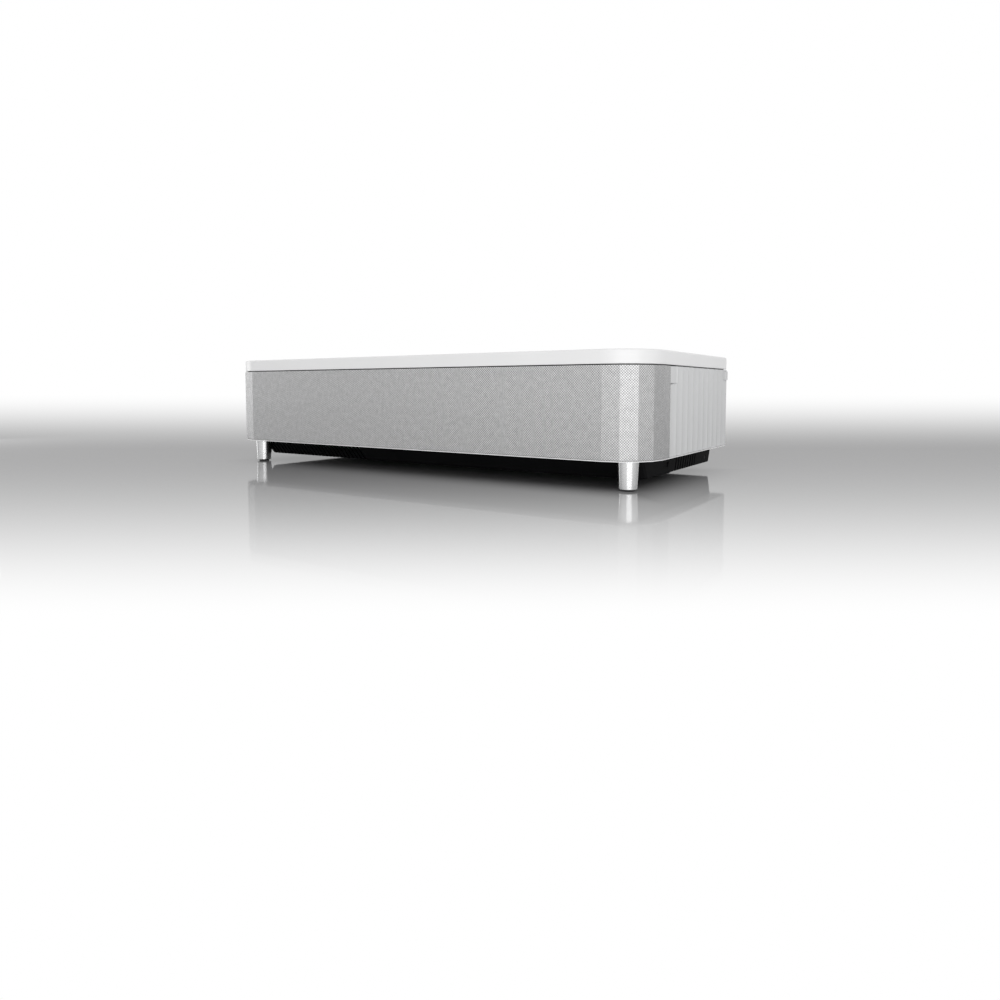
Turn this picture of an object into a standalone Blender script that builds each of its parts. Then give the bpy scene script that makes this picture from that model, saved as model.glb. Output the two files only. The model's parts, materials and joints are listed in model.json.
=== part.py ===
"""Ultra-short-throw home projector.

All sizes are in millimetres and become metres when a mesh is made.
The origin is on the floor under the middle of the body: +X is the projector's own right as seen
from the front, the fabric front faces -Y, the connectors face +Y, and +Z is up.
"""

import math

import bmesh
import bpy
from mathutils import Matrix, Vector

MM = 0.001
GAP = 0.3  # left between pieces that touch

# Overall body
WIDTH = 680.0
DEPTH = 300.0
HEIGHT = 155.0
HALF_X = WIDTH / 2
HALF_Y = DEPTH / 2

# Levels, bottom to top
TUB_LOW = 10.5
TUB_HIGH = 33.8
TRIM_THICK = 0.9
TRIM_LOW = TUB_HIGH + GAP
TRIM_HIGH = TRIM_LOW + TRIM_THICK
SHELL_LOW = TRIM_HIGH + GAP
COVER_LOW = 139.0
SHADOW_GAP = 1.0
SHELL_HIGH = COVER_LOW - SHADOW_GAP
COVER_SKIN = 4.0
COVER_INSIDE = HEIGHT - COVER_SKIN

# Plan corners
COVER_FRONT_RADIUS = 54.0
COVER_REAR_RADIUS = 12.0
FACET_RADIUS = 51.0
FACETS = 4
REAR_RADIUS = 9.0
GRILLE_END = -79.4  # where the fabric stops and the side panel starts

# Walls, measured inwards from the outside of the body
FABRIC_THICK = 1.0
FRAME_OUT = FABRIC_THICK + GAP
FRAME_IN = FRAME_OUT + 3.0
LIP_OUT = 5.2
LIP_IN = 7.0
MID_OUT = 4.6
MID_IN = 7.6
PANEL_IN = 4.0
REAR_PANEL_OUT = 0.2
REAR_PANEL_IN = 4.0
COVER_SKIRT = 3.7
MID_WINDOWS = ((-226.0, 56.0, -176.0, 76.0), (-170.0, 56.0, -108.0, 76.0))  # behind the ports
TRIM_HOLLOW = (-315.0, -106.0, 315.0, 143.0)

# Lattice that the fabric is stretched over
LATTICE_COLUMNS = 8
LATTICE_ROWS = 2
LATTICE_PITCH_X = 2 * (HALF_X - FACET_RADIUS) / LATTICE_COLUMNS
LATTICE_PITCH_Z = 44.0
LATTICE_BAR_X = 10.0
LATTICE_BAR_Z = 8.0
LATTICE_DROP = 1.0  # how far the windows' middle lies under the wall's
SHELF_DEPTH = (4.0, 0.5)  # bottom and top of the shelf behind the wall, down from its top
LIP_DEPTH = 3.0  # how far the upright lip reaches down behind the wall

# Fluted side panels
FLUTES = 11
FLUTE_PITCH = 19.6
FLUTE_DEPTH = 1.4
FLUTE_STEPS = 6
PANEL_START = GRILLE_END + GAP
FLUTE_END = PANEL_START + FLUTES * FLUTE_PITCH
PANEL_RETURN = 15.0  # how far a side panel wraps round onto the back

# Press-in catches of the side panels
CATCH_IN = 2.7
CATCH_PROUD = 0.8
FRONT_CATCH_Y = (PANEL_START + GAP, PANEL_START + 21.5)
FRONT_CATCH_Z = (118.8, SHELL_HIGH - GAP)
FRONT_CATCH_SLOT = 1.2
FRONT_CATCH_SLOT_LENGTH = 9.0
REAR_CATCH_Y = (132.4, 144.6)
REAR_CATCH_Z = (124.3, 136.0)

# Projection window
WINDOW_Y = 73.0
WINDOW_HALF = (112.0, 55.0)
WINDOW_RADIUS = 12.0
BEZEL_LOW = 142.5
BEZEL_FLANGE = 6.0
BEZEL_TOP = HEIGHT - 0.4
BAFFLE_STEPS = ((4.0, 152.0), (8.0, 149.5), (12.0, 147.0))  # inset of each step, and its floor
GLASS_INSET = 16.0
GLASS_THICK = 2.0
GLASS_LOW = 144.8
GLASS_LEDGE = 6.0

# Controls on the top
BUTTON_AT = (285.0, 100.0)
BUTTON_RADIUS = 8.0
BUTTON_TRAVEL = 1.2
SENSOR_AT = (142.0, 30.0)
SENSOR_SIZE = (18.0, 6.0)

# Base tub
TUB_HALF_X = (316.0, 319.0)  # at the bottom and at the top
TUB_FRONT_Y = (-97.5, -116.1)  # the front wall leans forward
TUB_REAR_Y = (146.0, 147.2)
TUB_FRONT_RADIUS = 14.0
TUB_REAR_RADIUS = 3.0
TUB_WALL = 2.5
TUB_RISE = TUB_HIGH - TUB_LOW
TUB_EDGE = 0.8  # chamfer along the bottom edge
LOUVRES = 26
LOUVRE_PITCH = 7.7
LOUVRE_WIDTH = 3.8
LOUVRE_START_X = -302.0
LOUVRE_HIGH = 29.8
SIDE_SLOTS = 9
SIDE_SLOT_PITCH = 9.2
SIDE_SLOT_WIDTH = 3.7
SIDE_SLOT_START_Y = 5.4
SIDE_SLOT_HIGH = 28.0
FLOOR_VENTS = 8
FLOOR_VENT_PITCH = 9.0
FLOOR_VENT_START = (-250.0, -30.0)
FLOOR_VENT_SIZE = (3.5, 70.0)
SCREW_AT = (126.3, 18.0)
SCREW_SEAT_X = 315.6
SCREW_HEAD_RADIUS = 2.4
SCREW_SHANK_RADIUS = 1.3
SCREW_CLEARANCE = 0.4
SIDE_MARK_X = 316.2  # floor of the shallow marks in the side
SIDE_MARKS = ((-37.0, 18.5, -20.0, 25.0), (112.9, 15.2, 114.1, 20.4))  # low Y, Z and high Y, Z

# Feet
LEG_AT = (306.5, -117.3)
LEG_TOP_RADIUS = 12.15
LEG_BOTTOM_RADIUS = 10.6
LEG_LOW = 2.0
LEG_EDGE = 0.9
LEG_CLEARANCE = 0.45
LEG_PAD_RADIUS = 7.5
LEG_PAD_HIGH = 3.3
REAR_FOOT_AT = (258.3, 115.0)
REAR_PAD_RADIUS = 13.0
REAR_PAD_HIGH = 6.0
REAR_PAD_FLOOR = 3.0
STUD_RADIUS = 4.0
STUD_HIGH = 28.0
STUD_COLLAR = 1.0  # how far the collar stands out from the stud
BOSS_RADIUS = 9.0
BOSS_HIGH = 24.0
BOSS_BORE = STUD_RADIUS + 0.4

# Connectors on the back
PORT_FACE = 148.6
IO_BOX = (-232.0, 50.0, -100.0, 84.0)
IO_FACE = 148.2
IO_THICK = 1.8
LAN_X = -214.0
LAN_SIZE = (16.0, 13.5)
LAN_MOUTH = (11.8, 8.4)
LAN_DEPTH = 12.6
LATCH_WIDTH = 4.4
LATCH_RISE = (3.0, 5.6)  # bottom and top of the latch's slot over the middle of the mouth
LATCH_DEPTH = 8.0
USB_X = -188.0
USB_SIZE = (14.5, 7.1)
USB_MOUTH = (13.1, 5.7)
USB_TONGUE = (11.5, 1.9)
HDMI_X = (-160.0, -139.0, -118.0)
HDMI_SIZE = (15.2, 5.9)
HDMI_MOUTH = (14.2, 4.8)
HDMI_TONGUE = (10.0, 1.2)
SOCKET_DEPTH = 11.0
TONGUE_SET_BACK = 4.7
PORT_BACK = 3.0
BOARD_LOW = 58.0
BOARD_THICK = 1.6
PORT_LOW = BOARD_LOW + BOARD_THICK + GAP
INLET_AT = (-295.0, 55.0)
INLET_FLANGE = (33.4, 25.4)
INLET_BODY = (27.0, 20.5)
INLET_CAVITY = (24.4, 16.9)
INLET_FACE = 149.6
INLET_FLOOR = 132.0
INLET_BACK = 4.0
INLET_CORNER = 3.5
INLET_PINS = ((-7.0, -2.0), (7.0, -2.0), (0.0, 3.0))
INLET_PIN_SIZE = (2.0, 4.0)
INLET_PIN_LENGTH = 11.0

# Slots of the back
REAR_SLOT_PITCH = 6.6
REAR_SLOT_WIDTH = 3.4
EXHAUST_SLOTS = 14
EXHAUST_SLOT_TALL = 72.0
INTAKE_SLOTS = 11
INTAKE_SLOT_TALL = 42.0
INTAKE_SLOTS_AT = (-280.0, 101.0)

# Boards; each component is (x, y, width, depth, height)
MAIN_BOARD = (-240.0, 66.0, -94.0, 140.0)
MAIN_COMPONENTS = (
    (-190, 92, 30, 30, 6),
    (-142, 88, 24, 24, 8),
    (-110, 100, 10, 20, 5),
    (-224, 84, 12, 26, 9),
    (-160, 116, 40, 6, 4),
)
POWER_BOARD = (-292.0, -52.0, -120.0, 52.0)
POWER_BOARD_LOW = 19.0
POWER_COMPONENTS = (
    (-268, 20, 26, 26, 34),
    (-222, 26, 40, 34, 30),
    (-170, 30, 24, 24, 26),
    (-262, -28, 36, 18, 22),
    (-206, -28, 18, 18, 28),
    (-170, -26, 22, 18, 16),
    (-136, 0, 10, 60, 20),
)

# Optics: the lens axis runs along Y, and the light line from the laser along X
AXIS_Z = 88.0
ENGINE_FACE = 86.0
ENGINE_BACK = 139.0
ENGINE_BOX = (-48.0, 50.0, 48.0, 126.0)
TUNNEL_X = (40.0, 119.0)
TUNNEL_SIDE = 32.0
GROOVES = 8
GROOVE_PITCH = 10.0
GROOVE_WIDTH = 6.0
GROOVE_START_X = -38.0
GROOVE_LOW = 116.0
LASER_BOX = (160.0, 90.0, 206.0, 138.0)
LASER_Z = (58.0, 120.0)
NOZZLE_RADIUS = 14.0
NOZZLE_X = (146.0, 161.0)
BARREL_RADIUS = 25.0
BARREL_BORE = 21.0
BARREL_END = 30.0
BARREL_FLANGE_RADIUS = 34.0
BARREL_FLANGE = 4.0
RING_Y = (52.0, 66.0)
RING_CLEARANCE = 0.7
GEAR_MODULE = 1.25
RING_TEETH = 50
RING_SECTOR_TEETH = 15
PINION_TEETH = 14
GEAR_CLEARANCE = 0.25
PINION_X = -(RING_TEETH + PINION_TEETH) * GEAR_MODULE / 2 - GEAR_CLEARANCE
LIGHT_Y = 112.0
WHEEL_AT = (LIGHT_Y, AXIS_Z - 24.0)
WHEEL_X = 128.0
WHEEL_RADIUS = 30.0
WHEEL_HUB = 10.0
WHEEL_MOTOR_X = 132.4
WHEEL_MOTOR_RADIUS = 11.0
PINION_SHAFT_RADIUS = 2.0
MOTOR_RADIUS = 10.0
MOTOR_END = 81.4
MOTOR_BRACKET_X = (-47.5, -35.0)
MOTOR_BRACKET_HALF_Z = 12.0
LENS_GROUP_Y = 48.0
MIRROR_AT = (-20.0, 96.0)
MIRROR_HALF = (74.0, 38.0)
MIRROR_CURVE = 170.0
MIRROR_TILT = 28.0
MIRROR_THICK = 3.0
BRACKET_PLATE = 4.0
BRACKET_HALF_X = 55.0
BRACKET_RISE = 34.0
BRACKET_FOOT = (16.0, 20.0)
BRACKET_TOE = 14.0
BRACKET_WEB = 2.0
BRACKET_WEB_THICK = 5.0

# Cooling
FAN_SIZE = 84.0
FAN_THICK = 25.0
FAN_BORE = 40.0
FAN_HUB = 17.0
FAN_CORNER = 5.0
FAN_ARM = 5.0
FAN_ARM_DEEP = 3.0
FAN_BLADES = 7
FAN_BLADE_REACH = (FAN_HUB - 1.5, FAN_BORE - 4.5)
FAN_BLADE_TWIST = (48.0, 30.0)  # pitch at the hub and at the tip
FAN_BLADE_HALF_CHORD = (8.0, 12.0)
FAN_BLADE_THICK = 1.4
HEATSINK_X = (222.0, 322.0)
HEATSINK_Y = (-25.0, 103.0)
HEATSINK_Z = (45.0, 127.0)
HEATSINK_BASE = 6.0
FINS = 13
FIN_THICK = 1.4
PIPE_RADIUS = 3.0
PIPE_Y = (-18.0, 114.0)
EXHAUST_FAN_AT = (272.0, 124.5, 86.0)
HEATSINK_FAN_AT = (272.0, -44.5, 86.0)
INTAKE_FAN_AT = (-314.5, 40.0, 86.0)

# Speakers
SPEAKER_INNER_X = 150.0
SPEAKER_Y = (-141.0, -62.0)
SPEAKER_Z = (40.0, 134.0)
SPEAKER_INSET = 9.0
SPEAKER_WALL = 4.0
DRIVER_AT = (225.0, 87.0)
DRIVER_RADIUS = 34.0

FINE = 32  # sides of a round piece that shows
COARSE = 20  # sides of a small or inner round piece

# Colour, roughness and metallic value of each finish
FINISHES = {
    "satin_white": ((0.83, 0.84, 0.85), 0.38, 0.0),
    "light_grey_plastic": ((0.66, 0.67, 0.68), 0.42, 0.0),
    "grey_weave": ((0.42, 0.43, 0.44), 0.85, 0.0),
    "black_plastic": ((0.018, 0.018, 0.02), 0.5, 0.0),
    "dark_gloss": ((0.01, 0.01, 0.012), 0.12, 0.0),
    "satin_metal": ((0.72, 0.73, 0.75), 0.25, 1.0),
    "raw_aluminium": ((0.62, 0.63, 0.65), 0.35, 1.0),
    "rubber": ((0.03, 0.03, 0.03), 0.8, 0.0),
    "glass": ((0.75, 0.8, 0.82), 0.03, 0.0),
    "mirror": ((0.9, 0.9, 0.9), 0.02, 1.0),
    "board_green": ((0.03, 0.12, 0.06), 0.45, 0.0),
    "copper": ((0.72, 0.36, 0.2), 0.3, 1.0),
    "cone_black": ((0.03, 0.03, 0.035), 0.6, 0.0),
    "phosphor": ((0.85, 0.75, 0.2), 0.4, 0.0),
    "steel": ((0.55, 0.55, 0.57), 0.3, 1.0),
    "black_steel": ((0.05, 0.05, 0.055), 0.4, 1.0),
    "brass_yellow": ((0.75, 0.58, 0.25), 0.3, 1.0),
}

AXES = {
    "X": (Vector((0, 1, 0)), Vector((0, 0, 1)), Vector((1, 0, 0))),
    "Y": (Vector((1, 0, 0)), Vector((0, 0, 1)), Vector((0, 1, 0))),
    "Z": (Vector((1, 0, 0)), Vector((0, 1, 0)), Vector((0, 0, 1))),
}


# ---------------------------------------------------------------- outlines


def arc(centre_u, centre_v, radius, start, end, steps):
    """Points on a circular arc in degrees, both ends included."""
    angles = [math.radians(start + (end - start) * i / steps) for i in range(steps + 1)]
    return [(centre_u + radius * math.cos(a), centre_v + radius * math.sin(a)) for a in angles]


def polar(centre, radius, degrees):
    """The point at a radius and an angle from a centre."""
    angle = math.radians(degrees)
    return (centre[0] + radius * math.cos(angle), centre[1] + radius * math.sin(angle))


def rounded_rectangle(low_u, low_v, high_u, high_v, radius, steps=3):
    """A rectangle with round corners, anticlockwise from its lower right corner."""
    points = arc(high_u - radius, low_v + radius, radius, -90, 0, steps)
    points += arc(high_u - radius, high_v - radius, radius, 0, 90, steps)
    points += arc(low_u + radius, high_v - radius, radius, 90, 180, steps)
    points += arc(low_u + radius, low_v + radius, radius, 180, 270, steps)
    return points


def rectangle(low_u, low_v, high_u, high_v):
    """A plain rectangle, anticlockwise."""
    return [(low_u, low_v), (high_u, low_v), (high_u, high_v), (low_u, high_v)]


def centred_rectangle(centre_u, centre_v, width, height):
    """A plain rectangle around its centre."""
    return rectangle(
        centre_u - width / 2, centre_v - height / 2, centre_u + width / 2, centre_v + height / 2
    )


def plan_outline(inset, front_radius, front_steps, rear_radius, rear_steps):
    """The body's outline seen from above, moved inwards by an inset."""
    half_x = HALF_X - inset
    half_y = HALF_Y - inset
    front = front_radius - inset
    rear = max(rear_radius - inset, 1.0)
    points = arc(half_x - front, front - half_y, front, -90, 0, front_steps)
    points += arc(half_x - rear, half_y - rear, rear, 0, 90, rear_steps)
    points += arc(rear - half_x, half_y - rear, rear, 90, 180, rear_steps)
    points += arc(front - half_x, front - half_y, front, 180, 270, front_steps)
    return points


def front_path(inset):
    """The faceted front, from the left side panel round to the right one."""
    half_x = HALF_X - inset
    half_y = HALF_Y - inset
    corner = FACET_RADIUS - inset
    left = arc(corner - half_x, corner - half_y, corner, 180, 270, FACETS)
    right = arc(half_x - corner, corner - half_y, corner, 270, 360, FACETS)
    return [(-half_x, GRILLE_END)] + left + right + [(half_x, GRILLE_END)]


def front_band(outer_inset, inner_inset):
    """A wall that follows the faceted front between two insets."""
    return front_path(outer_inset) + front_path(inner_inset)[::-1]


def rear_path(inset):
    """The sides and back behind the fabric, from the right side round to the left."""
    half_x = HALF_X - inset
    half_y = HALF_Y - inset
    rear = REAR_RADIUS - inset
    right = arc(half_x - rear, half_y - rear, rear, 0, 90, 3)
    left = arc(rear - half_x, half_y - rear, rear, 90, 180, 3)
    return [(half_x, PANEL_START)] + right + left + [(-half_x, PANEL_START)]


def gear_outline(centre, teeth, shown, facing, root_circle_steps):
    """Teeth on the part of a wheel that faces an angle, and a plain round root elsewhere.

    One tooth points straight along the facing angle when shown is odd, and one gap does
    when shown is even.
    """
    pitch_radius = teeth * GEAR_MODULE / 2
    root = pitch_radius - 1.2 * GEAR_MODULE
    tip = pitch_radius + 0.85 * GEAR_MODULE
    pitch_angle = 360 / teeth
    half_tooth = ((root, 0.34), (pitch_radius, 0.21), (tip, 0.1))
    shape = [(radius, -share) for radius, share in half_tooth] + list(half_tooth[::-1])
    points = []
    for tooth in range(shown):
        middle = facing + (tooth - (shown - 1) / 2) * pitch_angle
        for radius, share in shape:
            points.append(polar(centre, radius, middle + share * pitch_angle))
    if shown < teeth:
        last = facing + shown / 2 * pitch_angle
        first = facing - shown / 2 * pitch_angle + 360
        points += arc(centre[0], centre[1], root, last, first, root_circle_steps)
    return points


# ---------------------------------------------------------------- mesh helpers


def add_prism(mesh, outline, axis, low, high):
    """Adds a flat outline pushed along an axis."""
    across, up, along = AXES[axis]
    ring = [mesh.verts.new((across * u + up * v + along * low) * MM) for u, v in outline]
    pushed = bmesh.ops.extrude_face_region(mesh, geom=[mesh.faces.new(ring)])
    moved = [item for item in pushed["geom"] if isinstance(item, bmesh.types.BMVert)]
    bmesh.ops.translate(mesh, verts=moved, vec=along * (high - low) * MM)


def add_cylinder(mesh, axis, centre, radius, low, high, sides=COARSE):
    """Adds a cylinder along an axis; centre gives the other two coordinates."""
    add_prism(mesh, arc(centre[0], centre[1], radius, 0, 360, sides)[:-1], axis, low, high)


def add_loft(mesh, sections):
    """Adds a closed solid through level (outline, height) sections with matching points."""
    rings = []
    for outline, level in sections:
        rings.append([mesh.verts.new(Vector((u, v, level)) * MM) for u, v in outline])
    mesh.faces.new(rings[0])
    mesh.faces.new(rings[-1])
    for below, above in zip(rings, rings[1:]):
        for i in range(len(below)):
            j = (i + 1) % len(below)
            mesh.faces.new((below[i], below[j], above[j], above[i]))


def bevel_level(mesh, level, width, segments):
    """Rounds the edges that lie flat at one height."""
    edges = [e for e in mesh.edges if all(abs(v.co.z - level * MM) < 1e-6 for v in e.verts)]
    bmesh.ops.bevel(
        mesh, geom=edges, offset=width * MM, offset_type="OFFSET", segments=segments, profile=0.5,
        affect="EDGES",
    )


def make_object(name, mesh, finish=None, origin=(0, 0, 0)):
    """Turns a bmesh into an object; a finish makes it a part, and none makes it a cutter."""
    bmesh.ops.recalc_face_normals(mesh, faces=mesh.faces)
    bmesh.ops.translate(mesh, verts=mesh.verts, vec=-Vector(origin) * MM)
    data = bpy.data.meshes.new(name)
    mesh.to_mesh(data)
    mesh.free()
    made = bpy.data.objects.new(name, data)
    made.location = Vector(origin) * MM
    if finish:
        parts_collection.objects.link(made)
        add_finish(made, finish)
    else:
        cutters_collection.objects.link(made)
        made.hide_render = True
        made.display_type = "WIRE"
    return made


def add_finish(made, finish):
    """Gives a part its own Principled material."""
    colour, roughness, metallic = FINISHES[finish]
    material = bpy.data.materials.new(made.name + "_" + finish)
    material.use_nodes = True
    shader = material.node_tree.nodes["Principled BSDF"]
    shader.inputs["Base Color"].default_value = (*colour, 1)
    shader.inputs["Roughness"].default_value = roughness
    shader.inputs["Metallic"].default_value = metallic
    made.data.materials.append(material)


def smooth(made, angle=30):
    """Shades the round faces smooth and keeps edges over an angle sharp."""
    made.data.shade_smooth()
    made.data.set_sharp_from_angle(angle=math.radians(angle))


def combine(made, mesh, label, operation):
    """Cuts a mesh out of a part or joins it on."""
    tool = make_object(made.name + "_" + label, mesh)
    modifier = made.modifiers.new(label, "BOOLEAN")
    modifier.operation = operation
    modifier.solver = "EXACT"
    modifier.object = tool


def cut(made, mesh, label):
    """Cuts a mesh out of a part."""
    combine(made, mesh, label, "DIFFERENCE")


def join(made, mesh, label):
    """Joins a mesh onto a part that it overlaps."""
    combine(made, mesh, label, "UNION")


def prism(name, outline, axis, low, high, finish, origin=(0, 0, 0)):
    """A part made of one pushed outline."""
    mesh = bmesh.new()
    add_prism(mesh, outline, axis, low, high)
    return make_object(name, mesh, finish, origin)


def turned(name, profile, axis, origin, finish, sides=FINE, closed=False):
    """A turned part: its (radius, height) profile runs over the top and down the outside."""
    mesh = bmesh.new()
    points = [mesh.verts.new(Vector((radius, 0, height)) * MM) for radius, height in profile]
    for first, second in zip(points, points[1:]):
        mesh.edges.new((first, second))
    if closed:
        mesh.edges.new((points[-1], points[0]))
    data = bpy.data.meshes.new(name)
    mesh.to_mesh(data)
    mesh.free()
    made = bpy.data.objects.new(name, data)
    made.location = Vector(origin) * MM
    made.rotation_mode = "QUATERNION"
    made.rotation_quaternion = Vector((0, 0, 1)).rotation_difference(Vector(axis))
    parts_collection.objects.link(made)
    add_finish(made, finish)
    screw = made.modifiers.new("turn", "SCREW")
    screw.steps = sides
    screw.render_steps = sides
    screw.use_merge_vertices = True
    screw.merge_threshold = 0.00001
    screw.use_smooth_shade = True
    return made


def mirrored(outline, side):
    """An outline in plan for the right side (1), or flipped across X for the left one (-1)."""
    return [(side * u, v) for u, v in outline]


def span(side, first, second):
    """Low and high X of a stretch that is mirrored on the left side."""
    return tuple(sorted((side * first, side * second)))


# ---------------------------------------------------------------- shell


def make_top_cover():
    mesh = bmesh.new()
    outline = plan_outline(0, COVER_FRONT_RADIUS, 12, COVER_REAR_RADIUS, 5)
    add_prism(mesh, outline, "Z", COVER_LOW, HEIGHT)
    bevel_level(mesh, HEIGHT, 1.8, 3)
    bevel_level(mesh, COVER_LOW, 0.9, 2)
    cover = make_object("top_cover", mesh, "satin_white")
    hollow = bmesh.new()
    inner = plan_outline(COVER_SKIRT, COVER_FRONT_RADIUS, 8, REAR_RADIUS, 3)
    add_prism(hollow, inner, "Z", COVER_LOW - 5, COVER_INSIDE)
    cut(cover, hollow, "hollow")
    holes = bmesh.new()
    half_x, half_y = WINDOW_HALF
    window = rounded_rectangle(
        -half_x, WINDOW_Y - half_y, half_x, WINDOW_Y + half_y, WINDOW_RADIUS, 5
    )
    add_prism(holes, window, "Z", COVER_INSIDE - 1, HEIGHT + 1)
    add_cylinder(holes, "Z", BUTTON_AT, BUTTON_RADIUS + 0.4, COVER_INSIDE - 1, HEIGHT + 1)
    for side in (-1, 1):
        add_prism(holes, sensor_outline(side, GAP), "Z", COVER_INSIDE - 1, HEIGHT + 1)
    cut(cover, holes, "holes")
    smooth(cover)


def sensor_outline(side, grow):
    """The round-ended outline of an eye-safety sensor window."""
    half_x = SENSOR_SIZE[0] / 2 + grow
    half_y = SENSOR_SIZE[1] / 2 + grow
    x = side * SENSOR_AT[0]
    y = SENSOR_AT[1]
    return rounded_rectangle(x - half_x, y - half_y, x + half_x, y + half_y, half_y - 0.05, 4)


def window_outline(inset):
    """The projection window's rounded outline, moved inwards by an inset."""
    half_x = WINDOW_HALF[0] - inset
    half_y = WINDOW_HALF[1] - inset
    radius = max(WINDOW_RADIUS - inset / 2, 3.0)
    return rounded_rectangle(-half_x, WINDOW_Y - half_y, half_x, WINDOW_Y + half_y, radius, 4)


def make_window_bezel():
    """The stepped black well round the projection window, clamped under the cover's skin."""
    bezel = prism(
        "window_bezel", window_outline(-BEZEL_FLANGE), "Z", BEZEL_LOW, COVER_INSIDE - GAP,
        "black_plastic",
    )
    collar = bmesh.new()
    add_prism(collar, window_outline(GAP), "Z", COVER_INSIDE - 2, BEZEL_TOP)
    join(bezel, collar, "collar")
    high = BEZEL_TOP + 1
    for number, (inset, floor) in enumerate(BAFFLE_STEPS, 1):
        baffle = bmesh.new()
        add_prism(baffle, window_outline(inset), "Z", floor, high)
        cut(bezel, baffle, f"baffle_{number}")
    seat = bmesh.new()
    add_prism(seat, window_outline(GLASS_INSET), "Z", GLASS_LOW - GAP, high)
    cut(bezel, seat, "glass_seat")
    way = bmesh.new()
    add_prism(way, window_outline(GLASS_INSET + GLASS_LEDGE), "Z", BEZEL_LOW - 1, high)
    cut(bezel, way, "light_way")


def make_window_glass():
    prism(
        "window_glass", window_outline(GLASS_INSET + GAP), "Z", GLASS_LOW, GLASS_LOW + GLASS_THICK,
        "glass",
    )


def make_sensor_windows():
    for side, label in ((-1, "left"), (1, "right")):
        prism(
            f"sensor_window_{label}", sensor_outline(side, 0), "Z", COVER_INSIDE - 1.5, HEIGHT - GAP,
            "dark_gloss",
        )


def make_power_button():
    flange = BUTTON_RADIUS + 2
    low = COVER_INSIDE - 4.5
    top = HEIGHT - low
    flange_top = COVER_INSIDE - 0.8 - low
    profile = [(0, top - 0.6), (BUTTON_RADIUS - 2, top - 0.5), (BUTTON_RADIUS - 0.6, top)]
    profile += [(BUTTON_RADIUS, top - 0.6), (BUTTON_RADIUS, flange_top), (flange, flange_top)]
    profile += [(flange, 1.6), (3, 1.6), (3, 0), (0, 0)]
    turned("power_button", profile, (0, 0, 1), (*BUTTON_AT, low), "light_grey_plastic", COARSE)


def make_mid_frame():
    """The inner wall that carries the side panels, the back and the cover."""
    outline = rear_path(MID_OUT) + rear_path(MID_IN)[::-1]
    frame = prism("mid_frame", outline, "Z", SHELL_LOW, COVER_INSIDE - GAP, "black_plastic")
    holes = bmesh.new()
    low = HALF_Y - MID_IN - 2
    high = HALF_Y - MID_OUT + 2
    for window in MID_WINDOWS:
        add_prism(holes, rectangle(*window), "Y", low, high)
    inlet = centred_rectangle(*INLET_AT, INLET_BODY[0] + 1, INLET_BODY[1] + 1)
    add_prism(holes, inlet, "Y", low, high)
    fan_x, _, fan_z = EXHAUST_FAN_AT
    add_cylinder(holes, "Y", (fan_x, fan_z), FAN_BORE, low, high)
    cut(frame, holes, "windows")


def make_grille_frame():
    """The stiff lattice that the front fabric is stretched over."""
    frame = prism(
        "grille_frame", front_band(FRAME_OUT, FRAME_IN), "Z", SHELL_LOW, SHELL_HIGH, "black_plastic"
    )
    shelf = bmesh.new()
    bottom, top = (SHELL_HIGH - depth for depth in SHELF_DEPTH)
    add_prism(shelf, front_band(FRAME_IN - GAP, LIP_IN), "Z", bottom, top)
    join(frame, shelf, "shelf")
    lip = bmesh.new()
    bottom = SHELL_HIGH - LIP_DEPTH
    add_prism(lip, front_band(LIP_OUT, LIP_IN + 0.1), "Z", bottom, COVER_INSIDE - GAP)
    join(frame, lip, "lip")
    windows = bmesh.new()
    middle = (SHELL_LOW + SHELL_HIGH) / 2 - LATTICE_DROP
    size = (LATTICE_PITCH_X - LATTICE_BAR_X, LATTICE_PITCH_Z - LATTICE_BAR_Z)
    for column in range(LATTICE_COLUMNS):
        for row in range(LATTICE_ROWS):
            x = (column - (LATTICE_COLUMNS - 1) / 2) * LATTICE_PITCH_X
            z = middle + (row - (LATTICE_ROWS - 1) / 2) * LATTICE_PITCH_Z
            add_prism(windows, centred_rectangle(x, z, *size), "Y", -HALF_Y, FRAME_IN + 2 - HALF_Y)
    cut(frame, windows, "windows")


def make_grille_fabric():
    prism("grille_fabric", front_band(0, FABRIC_THICK), "Z", SHELL_LOW, SHELL_HIGH, "grey_weave")


def make_bottom_trim():
    """The thin ring under the walls that shows as a bright line along their lower edge."""
    outline = plan_outline(0, FACET_RADIUS, FACETS, REAR_RADIUS, 3)
    trim = prism("bottom_trim", outline, "Z", TRIM_LOW, TRIM_HIGH, "light_grey_plastic")
    hollow = bmesh.new()
    add_prism(hollow, rectangle(*TRIM_HOLLOW), "Z", TRIM_LOW - 1, TRIM_HIGH + 1)
    cut(trim, hollow, "hollow")


def flute_points():
    """Shallow scallops along the side, from the front edge to the back one."""
    points = []
    for flute in range(FLUTES):
        for step in range(FLUTE_STEPS):
            share = step / FLUTE_STEPS
            dip = FLUTE_DEPTH * (1 - (2 * share - 1) ** 2)
            points.append((HALF_X - dip, PANEL_START + (flute + share) * FLUTE_PITCH))
    points.append((HALF_X, FLUTE_END))
    return points


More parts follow.
